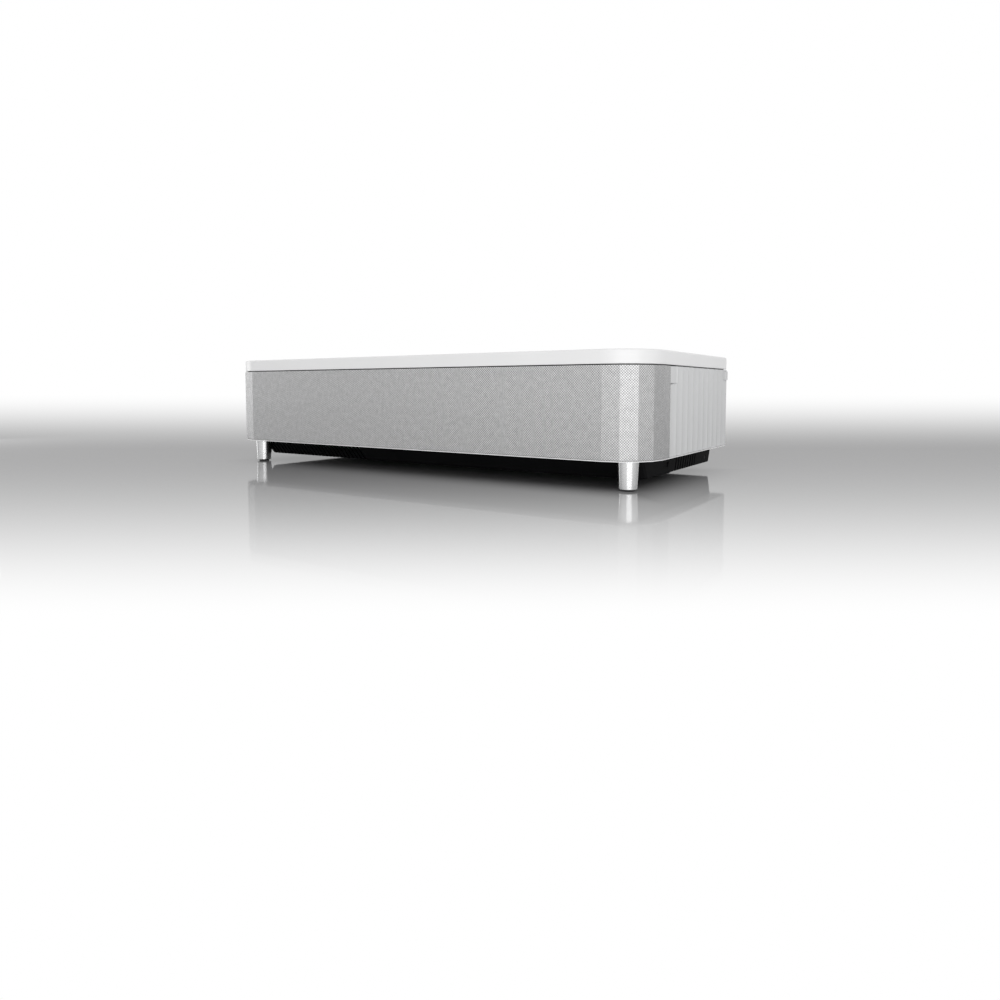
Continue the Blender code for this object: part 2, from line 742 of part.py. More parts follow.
def make_side_panel(side, label):
    """The fluted side, wrapped round the rear corner, with notches for its two catches."""
    corner = (HALF_X - REAR_RADIUS, HALF_Y - REAR_RADIUS)
    outline = flute_points()
    outline += arc(*corner, REAR_RADIUS - REAR_PANEL_OUT, 0, 90, 5)
    outline += [(HALF_X - PANEL_RETURN, HALF_Y - REAR_PANEL_OUT)]
    outline += [(HALF_X - PANEL_RETURN, HALF_Y - PANEL_IN)]
    outline += arc(*corner, REAR_RADIUS - PANEL_IN, 90, 0, 3)
    outline += [(HALF_X - PANEL_IN, PANEL_START)]
    panel = prism(
        f"side_panel_{label}", mirrored(outline, side), "Z", SHELL_LOW, SHELL_HIGH,
        "light_grey_plastic",
    )
    notches = bmesh.new()
    low, high = span(side, HALF_X - PANEL_IN - 1, HALF_X + 2)
    front = FRONT_CATCH_Y[0] - 5
    floor = FRONT_CATCH_Z[0] - GAP
    slot = front + 5 + FRONT_CATCH_SLOT_LENGTH
    shape = [(front, floor - FRONT_CATCH_SLOT), (slot, floor - FRONT_CATCH_SLOT), (slot, floor)]
    shape += [(FRONT_CATCH_Y[1] + GAP, floor), (FRONT_CATCH_Y[1] + GAP, SHELL_HIGH + 5)]
    shape += [(front, SHELL_HIGH + 5)]
    add_prism(notches, shape, "X", low, high)
    rear = rectangle(
        REAR_CATCH_Y[0] - GAP, REAR_CATCH_Z[0] - GAP, REAR_CATCH_Y[1] + GAP, REAR_CATCH_Z[1] + GAP
    )
    add_prism(notches, rear, "X", low, high)
    cut(panel, notches, "notches")
    smooth(panel, 14)


def make_side_catches(side, label):
    """Spring catches that release the side panel: a wedge at the front, a block at the back."""
    inner = HALF_X - CATCH_IN
    front, back = FRONT_CATCH_Y
    wedge = [(inner, front), (HALF_X - 0.6, front), (HALF_X - 0.1, back - 3)]
    wedge += [(HALF_X + CATCH_PROUD, back - 1.5), (HALF_X + CATCH_PROUD, back), (inner, back)]
    prism(
        f"front_catch_{label}", mirrored(wedge, side), "Z", *FRONT_CATCH_Z, "light_grey_plastic",
        (side * HALF_X, (front + back) / 2, sum(FRONT_CATCH_Z) / 2),
    )
    front, back = REAR_CATCH_Y
    block = [(inner, front), (HALF_X, front), (HALF_X + CATCH_PROUD, front + 1)]
    block += [(HALF_X + CATCH_PROUD, back - 1), (HALF_X, back), (inner, back)]
    prism(
        f"rear_catch_{label}", mirrored(block, side), "Z", *REAR_CATCH_Z, "light_grey_plastic",
        (side * HALF_X, (front + back) / 2, sum(REAR_CATCH_Z) / 2),
    )


def make_rear_panel():
    """The flat back, with exhaust slots, a recess for the connectors and the mains inlet."""
    half = HALF_X - PANEL_RETURN - GAP
    panel = prism(
        "rear_panel", rectangle(-half, SHELL_LOW, half, SHELL_HIGH), "Y", HALF_Y - REAR_PANEL_IN,
        HALF_Y - REAR_PANEL_OUT, "black_plastic",
    )
    low = HALF_Y - REAR_PANEL_IN - 1
    high = HALF_Y + 1
    openings = bmesh.new()
    add_prism(openings, rounded_rectangle(*IO_BOX, 3), "Y", low, high)
    inlet = centred_rectangle(*INLET_AT, INLET_FLANGE[0] + 2 * GAP, INLET_FLANGE[1] + 2 * GAP)
    add_prism(openings, inlet, "Y", low, high)
    cut(panel, openings, "openings")
    slots = bmesh.new()
    fan_x, _, fan_z = EXHAUST_FAN_AT
    x, z = INTAKE_SLOTS_AT
    grids = ((fan_x, fan_z, EXHAUST_SLOTS, EXHAUST_SLOT_TALL), (x, z, INTAKE_SLOTS, INTAKE_SLOT_TALL))
    for middle_x, middle_z, count, tall in grids:
        for slot in range(count):
            x = middle_x + (slot - (count - 1) / 2) * REAR_SLOT_PITCH
            outline = centred_rectangle(x, middle_z, REAR_SLOT_WIDTH, tall)
            add_prism(slots, outline, "Y", low, high)
    cut(panel, slots, "slots")


def port_boxes():
    """Name, middle X, width and height of each connector in the recessed plate."""
    boxes = [("lan_port", LAN_X, *LAN_SIZE), ("usb_port", USB_X, *USB_SIZE)]
    for number, x in enumerate(HDMI_X, 1):
        boxes.append((f"hdmi_port_{number}", x, *HDMI_SIZE))
    return boxes


def make_io_plate():
    low_x, low_z, high_x, high_z = IO_BOX
    edge = GAP + 0.1
    outline = rounded_rectangle(low_x + edge, low_z + edge, high_x - edge, high_z - edge, 2.6)
    plate = prism("io_plate", outline, "Y", IO_FACE - IO_THICK, IO_FACE, "black_plastic")
    holes = bmesh.new()
    for _, x, width, height in port_boxes():
        box = rectangle(
            x - width / 2 - GAP, PORT_LOW - GAP, x + width / 2 + GAP, PORT_LOW + height + GAP
        )
        add_prism(holes, box, "Y", IO_FACE - IO_THICK - 1, IO_FACE + 1)
    cut(plate, holes, "port_holes")


# ---------------------------------------------------------------- base and feet


def between(ends, share):
    """A value part of the way from the first of two ends to the second."""
    return ends[0] + (ends[1] - ends[0]) * share


def tub_section(rise, inset):
    """The tub's outline and level at a rise above its bottom, moved inwards by an inset."""
    share = rise / TUB_RISE
    half_x = between(TUB_HALF_X, share) - inset
    front_y = between(TUB_FRONT_Y, share) + inset
    rear_y = between(TUB_REAR_Y, share) - inset
    front = TUB_FRONT_RADIUS - inset
    rear = TUB_REAR_RADIUS - inset
    outline = arc(half_x - front, front_y + front, front, -90, 0, 4)
    outline += arc(half_x - rear, rear_y - rear, rear, 0, 90, 2)
    outline += arc(rear - half_x, rear_y - rear, rear, 90, 180, 2)
    outline += arc(front - half_x, front_y + front, front, 180, 270, 4)
    return outline, TUB_LOW + rise


def make_base_tub():
    """The black tub under the body, open at the top, with its vents, bosses and screw seats."""
    mesh = bmesh.new()
    outside = [(0, TUB_EDGE), (TUB_EDGE, 0), (TUB_RISE, 0)]
    add_loft(mesh, [tub_section(rise, inset) for rise, inset in outside])
    tub = make_object("base_tub", mesh, "black_plastic")
    hollow = bmesh.new()
    floor = TUB_LOW + TUB_WALL
    add_loft(hollow, [tub_section(rise, TUB_WALL) for rise in (TUB_WALL, TUB_RISE + 4)])
    cut(tub, hollow, "hollow")
    bosses = bmesh.new()
    for side in (-1, 1):
        centre = (side * REAR_FOOT_AT[0], REAR_FOOT_AT[1])
        add_cylinder(bosses, "Z", centre, BOSS_RADIUS, floor - 1, BOSS_HIGH)
    join(tub, bosses, "bosses")
    recesses = bmesh.new()
    shanks = bmesh.new()
    for side in (-1, 1):
        centre = (side * REAR_FOOT_AT[0], REAR_FOOT_AT[1])
        add_cylinder(recesses, "Z", centre, BOSS_BORE, TUB_LOW - 1, BOSS_HIGH + 1)
        centre = (side * LEG_AT[0], LEG_AT[1])
        add_cylinder(recesses, "Z", centre, LEG_TOP_RADIUS + LEG_CLEARANCE, 0, TUB_HIGH + 1, FINE)
        low, high = span(side, SCREW_SEAT_X, TUB_HALF_X[1] + 2)
        add_cylinder(recesses, "X", SCREW_AT, SCREW_HEAD_RADIUS + SCREW_CLEARANCE, low, high, 16)
        low, high = span(side, SIDE_MARK_X, TUB_HALF_X[1] + 2)
        for mark in SIDE_MARKS:
            add_prism(recesses, rectangle(*mark), "X", low, high)
        low, high = span(side, TUB_HALF_X[0] - 6, SCREW_SEAT_X + 1)
        add_cylinder(shanks, "X", SCREW_AT, SCREW_SHANK_RADIUS + GAP, low, high, 12)
    cut(tub, recesses, "recesses")
    cut(tub, shanks, "shanks")
    vents = bmesh.new()
    for louvre in range(LOUVRES):
        x = LOUVRE_START_X + louvre * LOUVRE_PITCH
        box = rectangle(x, TUB_LOW - 1, x + LOUVRE_WIDTH, LOUVRE_HIGH)
        add_prism(vents, box, "Y", TUB_FRONT_Y[1] - 2, TUB_FRONT_Y[0] + TUB_WALL)
    for side in (-1, 1):
        low, high = span(side, TUB_HALF_X[0] - 6, TUB_HALF_X[1] + 2)
        for slot in range(SIDE_SLOTS):
            y = SIDE_SLOT_START_Y + slot * SIDE_SLOT_PITCH
            box = rectangle(y, TUB_LOW - 1, y + SIDE_SLOT_WIDTH, SIDE_SLOT_HIGH)
            add_prism(vents, box, "X", low, high)
    cut(tub, vents, "vents")
    intake = bmesh.new()
    start_x, start_y = FLOOR_VENT_START
    width, length = FLOOR_VENT_SIZE
    for vent in range(FLOOR_VENTS):
        x = start_x + vent * FLOOR_VENT_PITCH
        outline = rectangle(x, start_y, x + width, start_y + length)
        add_prism(intake, outline, "Z", TUB_LOW - 1, floor + 1)
    cut(tub, intake, "floor_vents")


def make_front_leg(side, label):
    """A tapered metal leg with a rubber pad set into its foot."""
    centre = (side * LEG_AT[0], LEG_AT[1], 0)
    top = TRIM_LOW - GAP
    seat_radius = LEG_PAD_RADIUS + GAP
    seat = LEG_PAD_HIGH + GAP
    profile = [(0, top), (LEG_TOP_RADIUS, top), (LEG_BOTTOM_RADIUS + 0.05, LEG_LOW + LEG_EDGE)]
    profile += [(LEG_BOTTOM_RADIUS - 0.25, LEG_LOW + 0.25), (LEG_BOTTOM_RADIUS - LEG_EDGE, LEG_LOW)]
    profile += [(seat_radius, LEG_LOW), (seat_radius, seat), (0, seat)]
    turned(f"front_leg_{label}", profile, (0, 0, 1), centre, "satin_metal")
    profile = [(0, LEG_PAD_HIGH), (LEG_PAD_RADIUS, LEG_PAD_HIGH), (LEG_PAD_RADIUS, 0.4)]
    profile += [(LEG_PAD_RADIUS - 0.4, 0), (0, 0)]
    turned(f"front_leg_pad_{label}", profile, (0, 0, 1), centre, "rubber", COARSE)


def make_rear_foot(side, label):
    """A levelling foot: a pad that doesn't turn, and a threaded stud that screws it up and down."""
    centre = (side * REAR_FOOT_AT[0], REAR_FOOT_AT[1], 0)
    radius = REAR_PAD_RADIUS
    collar = STUD_RADIUS + STUD_COLLAR
    socket = collar + GAP
    profile = [(0, REAR_PAD_FLOOR), (socket, REAR_PAD_FLOOR), (socket, REAR_PAD_HIGH)]
    profile += [(radius - 1, REAR_PAD_HIGH), (radius, REAR_PAD_HIGH - 1), (radius, 1)]
    profile += [(radius - 1, 0), (0, 0)]
    turned(f"rear_foot_pad_{label}", profile, (0, 0, 1), centre, "rubber", COARSE)
    profile = [(0, STUD_HIGH), (STUD_RADIUS - 1, STUD_HIGH), (STUD_RADIUS, STUD_HIGH - 1)]
    profile += [(STUD_RADIUS, REAR_PAD_HIGH - 1), (collar, REAR_PAD_HIGH - 1)]
    profile += [(collar, REAR_PAD_FLOOR + GAP), (0, REAR_PAD_FLOOR + GAP)]
    turned(f"rear_foot_stud_{label}", profile, (0, 0, 1), centre, "steel", COARSE)


def make_side_screw(side, label):
    """The screw that holds the tub's side to the frame."""
    centre = (side * (TUB_HALF_X[0] - 0.1), *SCREW_AT)
    profile = [(0, 0.6), (1, 0.6), (1.3, 1), (SCREW_HEAD_RADIUS - 0.4, 1)]
    profile += [(SCREW_HEAD_RADIUS, 0.6), (SCREW_HEAD_RADIUS, 0), (SCREW_SHANK_RADIUS, 0)]
    profile += [(SCREW_SHANK_RADIUS, -7), (0, -8)]
    turned(f"side_screw_{label}", profile, (side, 0, 0), centre, "black_steel", 12)


# ---------------------------------------------------------------- connectors and boards


def make_port(name, x, width, height, cavity, tongue, depth):
    """A connector shell: a block with a mouth and, where it has one, a contact tongue."""
    outline = rectangle(x - width / 2, PORT_LOW, x + width / 2, PORT_LOW + height)
    port = prism(name, outline, "Y", PORT_FACE - depth - PORT_BACK, PORT_FACE, "steel")
    middle = PORT_LOW + height / 2
    mouth = bmesh.new()
    add_prism(mouth, centred_rectangle(x, middle, *cavity), "Y", PORT_FACE - depth, PORT_FACE + 1)
    cut(port, mouth, "mouth")
    if tongue:
        contact = bmesh.new()
        add_prism(
            contact, centred_rectangle(x, middle, *tongue), "Y", PORT_FACE - depth - 1,
            PORT_FACE - TONGUE_SET_BACK,
        )
        join(port, contact, "tongue")
    return port


def make_ports():
    for name, x, width, height in port_boxes():
        if name == "lan_port":
            port = make_port(name, x, width, height, LAN_MOUTH, None, LAN_DEPTH)
            latch = bmesh.new()
            low, high = (PORT_LOW + height / 2 + rise for rise in LATCH_RISE)
            box = rectangle(x - LATCH_WIDTH / 2, low, x + LATCH_WIDTH / 2, high)
            add_prism(latch, box, "Y", PORT_FACE - LATCH_DEPTH, PORT_FACE + 1)
            cut(port, latch, "latch")
        elif name == "usb_port":
            make_port(name, x, width, height, USB_MOUTH, USB_TONGUE, SOCKET_DEPTH)
        else:
            make_port(name, x, width, height, HDMI_MOUTH, HDMI_TONGUE, SOCKET_DEPTH)


def make_ac_inlet():
    """A three-pin mains inlet with a flange in the rear panel."""
    inlet = prism(
        "ac_inlet", centred_rectangle(*INLET_AT, *INLET_BODY), "Y", INLET_FLOOR - INLET_BACK,
        INLET_FACE, "black_plastic",
    )
    flange = bmesh.new()
    outline = centred_rectangle(*INLET_AT, *INLET_FLANGE)
    add_prism(flange, outline, "Y", INLET_FACE - 2, INLET_FACE - 0.01)
    join(inlet, flange, "flange")
    cavity = bmesh.new()
    x, z = INLET_AT
    half_x, half_z = INLET_CAVITY[0] / 2, INLET_CAVITY[1] / 2
    corner = INLET_CORNER
    outline = [(x - half_x, z - half_z), (x + half_x, z - half_z), (x + half_x, z + half_z - corner)]
    outline += [(x + half_x - corner, z + half_z), (x - half_x + corner, z + half_z)]
    outline += [(x - half_x, z + half_z - corner)]
    add_prism(cavity, outline, "Y", INLET_FLOOR, INLET_FACE + 1)
    cut(inlet, cavity, "cavity")
    pins = bmesh.new()
    for pin_x, pin_z in INLET_PINS:
        blade = centred_rectangle(x + pin_x, z + pin_z, *INLET_PIN_SIZE)
        add_prism(pins, blade, "Y", INLET_FLOOR - 1, INLET_FLOOR + INLET_PIN_LENGTH)
    join(inlet, pins, "pins")


def make_board(name, box, level, components):
    """A circuit board with its larger components joined on."""
    high = level + BOARD_THICK
    board = prism(name, rectangle(*box), "Z", level, high, "board_green")
    blocks = bmesh.new()
    for x, y, width, depth, height in components:
        outline = centred_rectangle(x, y, width, depth)
        add_prism(blocks, outline, "Z", level + BOARD_THICK / 2, high + height)
    join(board, blocks, "components")


# ---------------------------------------------------------------- optics


def make_optical_engine():
    """The imaging block behind the lens, with the light tunnel that the laser feeds."""
    outline = rounded_rectangle(*ENGINE_BOX, 6, 2)
    engine = prism("optical_engine", outline, "Y", ENGINE_FACE, ENGINE_BACK, "raw_aluminium")
    tunnel = bmesh.new()
    section = centred_rectangle(LIGHT_Y, AXIS_Z, TUNNEL_SIDE, TUNNEL_SIDE)
    add_prism(tunnel, section, "X", *TUNNEL_X)
    join(engine, tunnel, "tunnel")
    grooves = bmesh.new()
    for groove in range(GROOVES):
        x = GROOVE_START_X + groove * GROOVE_PITCH
        outline = rectangle(x, GROOVE_LOW, x + GROOVE_WIDTH, ENGINE_BOX[3] + 2)
        add_prism(grooves, outline, "Y", ENGINE_FACE - 1, ENGINE_BACK + 3)
    cut(engine, grooves, "grooves")


def make_laser_module():
    """The laser bank: a sealed block with its beam nozzle towards the phosphor wheel."""
    laser = prism("laser_module", rectangle(*LASER_BOX), "Z", *LASER_Z, "raw_aluminium")
    nozzle = bmesh.new()
    add_cylinder(nozzle, "X", (LIGHT_Y, AXIS_Z), NOZZLE_RADIUS, *NOZZLE_X)
    join(laser, nozzle, "nozzle")


def make_phosphor_wheel():
    y, z = WHEEL_AT
    hub = WHEEL_HUB
    profile = [(0, 4), (hub - 1, 4), (hub, 3), (hub, 1), (WHEEL_RADIUS, 1), (WHEEL_RADIUS, -0.6)]
    profile += [(hub, -0.6), (hub, -4), (0, -4)]
    turned("phosphor_wheel", profile, (1, 0, 0), (WHEEL_X, y, z), "phosphor", COARSE)


def make_wheel_motor():
    y, z = WHEEL_AT
    radius = WHEEL_MOTOR_RADIUS
    profile = [(0, 10), (radius - 2, 10), (radius, 8), (radius, 1.5), (4, 1.5), (4, 0), (0, 0)]
    turned("wheel_motor", profile, (1, 0, 0), (WHEEL_MOTOR_X, y, z), "steel", COARSE)


def make_lens_barrel():
    length = ENGINE_FACE - GAP - BARREL_END
    profile = [(BARREL_RADIUS, length), (BARREL_RADIUS, BARREL_FLANGE)]
    profile += [(BARREL_FLANGE_RADIUS, BARREL_FLANGE), (BARREL_FLANGE_RADIUS, 0)]
    profile += [(BARREL_BORE, 0), (BARREL_BORE, length)]
    origin = (0, ENGINE_FACE - GAP, AXIS_Z)
    turned("lens_barrel", profile, (0, -1, 0), origin, "black_plastic", COARSE, True)


def make_focus_ring():
    """The ring with a toothed sector that the focus motor turns round the barrel."""
    centre = (0, AXIS_Z)
    outline = gear_outline(centre, RING_TEETH, RING_SECTOR_TEETH, 180, 20)
    ring = prism("focus_ring", outline, "Y", *RING_Y, "black_plastic", (0, RING_Y[0], AXIS_Z))
    bore = bmesh.new()
    add_cylinder(bore, "Y", centre, BARREL_RADIUS + RING_CLEARANCE, RING_Y[0] - 1, RING_Y[1] + 1)
    cut(ring, bore, "bore")


def make_focus_pinion():
    """The motor's pinion, with a gap facing the ring's middle tooth, and its short shaft."""
    centre = (PINION_X, AXIS_Z)
    outline = gear_outline(centre, PINION_TEETH, PINION_TEETH, 0, 0)
    low, high = RING_Y[0] + 1, RING_Y[1] - 1
    pinion = prism(
        "focus_pinion", outline, "Y", low, high, "brass_yellow", (PINION_X, low, AXIS_Z)
    )
    shaft = bmesh.new()
    add_cylinder(shaft, "Y", centre, PINION_SHAFT_RADIUS, low - 1.5, high + 1.2, 12)
    join(pinion, shaft, "shaft")


def make_focus_motor():
    motor_low = RING_Y[1] + 0.5
    mesh = bmesh.new()
    add_cylinder(mesh, "Y", (PINION_X, AXIS_Z), MOTOR_RADIUS, motor_low, MOTOR_END)
    motor = make_object("focus_motor", mesh, "steel")
    bracket = bmesh.new()
    low_x, high_x = MOTOR_BRACKET_X
    half = MOTOR_BRACKET_HALF_Z
    outline = rectangle(low_x, AXIS_Z - half, high_x, AXIS_Z + half)
    add_prism(bracket, outline, "Y", MOTOR_END - 0.6, ENGINE_FACE - GAP)
    join(motor, bracket, "bracket")


def make_focus_lens_group():
    """The sliding lens cell inside the barrel: a ring with a domed lens in it."""
    radius = BARREL_BORE - 0.4
    profile = [(0, 13), (8, 12.4), (14, 10.6), (17, 9), (17, 14), (radius, 14), (radius, 0)]
    profile += [(17, 0), (17, 3), (8, 4.2), (0, 4.6)]
    origin = (0, LENS_GROUP_Y, AXIS_Z)
    turned("focus_lens_group", profile, (0, -1, 0), origin, "glass", COARSE)


def make_curved_mirror():
    """The concave mirror that throws the picture up and back through the window."""
    mesh = bmesh.new()
    bmesh.ops.create_grid(mesh, x_segments=12, y_segments=6, size=1)
    half_x, half_y = MIRROR_HALF
    for vert in mesh.verts:
        u = vert.co.x * half_x
        v = vert.co.y * half_y
        vert.co = Vector((u, v, (u * u + v * v) / (2 * MIRROR_CURVE))) * MM
    turn = Matrix.Rotation(math.radians(90 - MIRROR_TILT), 4, "X")
    place = Matrix.Translation(Vector((0, *MIRROR_AT)) * MM)
    bmesh.ops.transform(mesh, matrix=place @ Matrix.Rotation(math.pi, 4, "Z") @ turn, verts=mesh.verts)
    data = bpy.data.meshes.new("curved_mirror")
    mesh.to_mesh(data)
    mesh.free()
    made = bpy.data.objects.new("curved_mirror", data)
    parts_collection.objects.link(made)
    add_finish(made, "mirror")
    solidify = made.modifiers.new("thickness", "SOLIDIFY")
    solidify.thickness = MIRROR_THICK * MM
    solidify.offset = -1
    smooth(made)


def make_mirror_bracket():
    """The leaning back plate and foot that hold the mirror."""
    lean = math.radians(MIRROR_TILT)
    normal = Vector((math.cos(lean), math.sin(lean)))
    along = Vector((-math.sin(lean), math.cos(lean)))
    front = Vector(MIRROR_AT) - normal * BRACKET_PLATE
    rise = along * BRACKET_RISE
    thick = normal * BRACKET_PLATE
    bottom, top, back_top = front - rise, front + rise, front + rise - thick
    knee = front - rise - thick + along * BRACKET_PLATE
    web_y = knee.x - BRACKET_WEB
    low_z, high_z = BRACKET_FOOT
    toe_y = bottom.x + BRACKET_TOE
    outline = [tuple(point) for point in (bottom, top, back_top, knee)]
    outline += [(web_y - BRACKET_WEB_THICK, knee.y), (web_y - BRACKET_WEB_THICK, low_z)]
    outline += [(toe_y, low_z), (toe_y, high_z), (web_y, high_z)]
    prism("mirror_bracket", outline, "X", -BRACKET_HALF_X, BRACKET_HALF_X, "steel")


# ---------------------------------------------------------------- cooling and sound


def fan_point(axis, centre, u, v, w):
    """A point given across, up and along a fan whose axis is X or Y."""
    if axis == "Y":
        return (centre[0] + u, centre[2] + v, centre[1] + w)
    return (centre[1] + u, centre[2] + v, centre[0] + w)


def make_fan(label, axis, centre):
    """An axial fan: a square frame with four arms and a hub plate, and its bladed rotor."""
    middle_u, middle_v, middle_w = fan_point(axis, centre, 0, 0, 0)
    low, high = middle_w - FAN_THICK / 2, middle_w + FAN_THICK / 2
    half = FAN_SIZE / 2
    outline = rounded_rectangle(
        middle_u - half, middle_v - half, middle_u + half, middle_v + half, FAN_CORNER, 2
    )
    frame = prism(f"{label}_frame", outline, axis, low, high, "black_plastic")
    bore = bmesh.new()
    add_cylinder(bore, axis, (middle_u, middle_v), FAN_BORE, low - 1, high + 1)
    cut(frame, bore, "bore")
    length = FAN_SIZE - 2
    for arm, size in (("arm_across", (length, FAN_ARM)), ("arm_up", (FAN_ARM, length))):
        arms = bmesh.new()
        outline = centred_rectangle(middle_u, middle_v, *size)
        add_prism(arms, outline, axis, high - FAN_ARM_DEEP, high - 0.1)
        join(frame, arms, arm)
    plate = bmesh.new()
    add_cylinder(plate, axis, (middle_u, middle_v), FAN_HUB, high - FAN_ARM_DEEP - 0.5, high - 0.05)
    join(frame, plate, "hub_plate")
    mesh = bmesh.new()
    add_cylinder(mesh, axis, (middle_u, middle_v), FAN_HUB, low + 2, high - FAN_ARM_DEEP - 1)
    rotor = make_object(f"{label}_rotor", mesh, "black_plastic", centre)
    blades = bmesh.new()
    for blade in range(FAN_BLADES):
        add_blade(blades, axis, centre, 360 * blade / FAN_BLADES)
    join(rotor, blades, "blades")


def add_blade(mesh, axis, centre, angle):
    """Adds one pitched blade, a thin slab that twists towards its tip."""
    across, up, along = AXES[axis]
    middle = Vector(centre)
    turn = math.radians(angle)
    radial = across * math.cos(turn) + up * math.sin(turn)
    tangent = up * math.cos(turn) - across * math.sin(turn)
    rings = []
    half_thick = FAN_BLADE_THICK / 2
    for radius, pitch, half_chord in zip(FAN_BLADE_REACH, FAN_BLADE_TWIST, FAN_BLADE_HALF_CHORD):
        slope = math.radians(pitch)
        chord = tangent * math.cos(slope) + along * math.sin(slope)
        skin = tangent * -math.sin(slope) + along * math.cos(slope)
        base = middle + radial * radius - along
        corners = rectangle(-1, -half_thick, 1, half_thick)
        rings.append(
            [mesh.verts.new((base + chord * half_chord * s + skin * t) * MM) for s, t in corners]
        )
    for ring in rings:
        mesh.faces.new(ring)
    for i in range(4):
        j = (i + 1) % 4
        mesh.faces.new((rings[0][i], rings[0][j], rings[1][j], rings[1][i]))


def make_heatsink():
    """A comb of level fins on an upright base plate."""
    low_x, high_x = HEATSINK_X
    low_z, high_z = HEATSINK_Z
    base = low_x + HEATSINK_BASE
    fin = FIN_THICK
    pitch = (high_z - low_z - fin) / (FINS - 1)
    outline = [(low_x, high_z), (low_x, low_z)]
    for number in range(FINS):
        z = low_z + number * pitch
        outline += [(high_x, z), (high_x, z + fin)]
        if number < FINS - 1:
            outline += [(base, z + fin), (base, z + pitch)]
    prism("laser_heatsink", outline, "Y", *HEATSINK_Y, "raw_aluminium")


def make_heat_pipe():
    """A bent copper pipe from the laser block along the heatsink's base plate."""
    run_x = HEATSINK_X[0] - PIPE_RADIUS - 1
    corner = [(run_x - 6, PIPE_Y[1]), (run_x - 2, PIPE_Y[1] - 2), (run_x, PIPE_Y[1] - 6)]
    route = [(LASER_BOX[2] + 2 * GAP, PIPE_Y[1])] + corner + [(run_x, PIPE_Y[0])]
    curve = bpy.data.curves.new("heat_pipe", "CURVE")
    curve.dimensions = "3D"
    spline = curve.splines.new("POLY")
    spline.points.add(len(route) - 1)
    for point, (x, y) in zip(spline.points, route):
        point.co = (x * MM, y * MM, AXIS_Z * MM, 1)
    curve.bevel_depth = PIPE_RADIUS * MM
    curve.bevel_resolution = 2
    curve.use_fill_caps = True
    made = bpy.data.objects.new("heat_pipe", curve)
    parts_collection.objects.link(made)
    add_finish(made, "copper")


def make_speaker_box(side, label):
    """A sealed speaker cabinet shaped to the faceted corner, with its driver hole in front."""

    def outline(wall):
        radius = FACET_RADIUS - SPEAKER_INSET - wall
        corner = (HALF_X - FACET_RADIUS, FACET_RADIUS - HALF_Y)
        front, back = SPEAKER_Y[0] + wall, SPEAKER_Y[1] - wall
        points = [(SPEAKER_INNER_X + wall, front)] + arc(*corner, radius, 270, 360, 4)
        points += [(corner[0] + radius, back), (SPEAKER_INNER_X + wall, back)]
        return mirrored(points, side)

    box = prism(f"speaker_box_{label}", outline(0), "Z", *SPEAKER_Z, "black_plastic")
    cavity = bmesh.new()
    low, high = SPEAKER_Z
    add_prism(cavity, outline(SPEAKER_WALL), "Z", low + SPEAKER_WALL, high - SPEAKER_WALL)
    cut(box, cavity, "cavity")
    hole = bmesh.new()
    centre = (side * DRIVER_AT[0], DRIVER_AT[1])
    low_y = SPEAKER_Y[0] - 2
    add_cylinder(hole, "Y", centre, DRIVER_RADIUS, low_y, SPEAKER_Y[0] + SPEAKER_WALL + 1)
    cut(box, hole, "driver_hole")


def make_speaker_cone(side, label):
    """The driver's moving cone with its dust dome, voice coil and rolled surround."""
    rim = DRIVER_RADIUS - 0.8
    profile = [(0, -6), (6, -6.8), (11, -10), (27, -1.5), (28.5, 0.8), (31, 1.2), (rim, 0)]
    profile += [(rim, -1.5), (27, -3.5), (13, -12.5), (13, -22), (0, -22)]
    origin = (side * DRIVER_AT[0], SPEAKER_Y[0], DRIVER_AT[1])
    turned(f"speaker_cone_{label}", profile, (0, -1, 0), origin, "cone_black", COARSE)


# ---------------------------------------------------------------- assembly

for old in list(bpy.data.objects):
    bpy.data.objects.remove(old)
parts_collection = bpy.data.collections.new("home_projector")
cutters_collection = bpy.data.collections.new("cutters")
for group in (parts_collection, cutters_collection):
    bpy.context.scene.collection.children.link(group)

make_top_cover()
make_window_bezel()
make_window_glass()
make_sensor_windows()
make_power_button()
make_mid_frame()
make_grille_frame()
make_grille_fabric()
make_bottom_trim()
make_rear_panel()
make_io_plate()
make_base_tub()
make_ports()
make_ac_inlet()
make_board("main_board", MAIN_BOARD, BOARD_LOW, MAIN_COMPONENTS)
make_board("power_board", POWER_BOARD, POWER_BOARD_LOW, POWER_COMPONENTS)
make_optical_engine()
make_laser_module()
make_phosphor_wheel()
make_wheel_motor()
make_lens_barrel()
make_focus_ring()
make_focus_pinion()
make_focus_motor()
make_focus_lens_group()
make_curved_mirror()
make_mirror_bracket()
make_heatsink()
make_heat_pipe()
make_fan("exhaust_fan", "Y", EXHAUST_FAN_AT)
make_fan("heatsink_fan", "Y", HEATSINK_FAN_AT)
make_fan("intake_fan", "X", INTAKE_FAN_AT)
for panel_side, panel_label in ((-1, "left"), (1, "right")):
    make_side_panel(panel_side, panel_label)
    make_side_catches(panel_side, panel_label)
    make_front_leg(panel_side, panel_label)
    make_rear_foot(panel_side, panel_label)
    make_side_screw(panel_side, panel_label)
    make_speaker_box(panel_side, panel_label)
    make_speaker_cone(panel_side, panel_label)
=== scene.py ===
"""Looks of a fabric-fronted ultra-short-throw projector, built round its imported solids.

Lengths are in metres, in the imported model's own frame: +X to the right seen from the front, the
fabric front towards -Y, the connectors towards +Y and +Z up.
"""

import json
import math

import bmesh
import bpy
from mathutils import Matrix, Vector


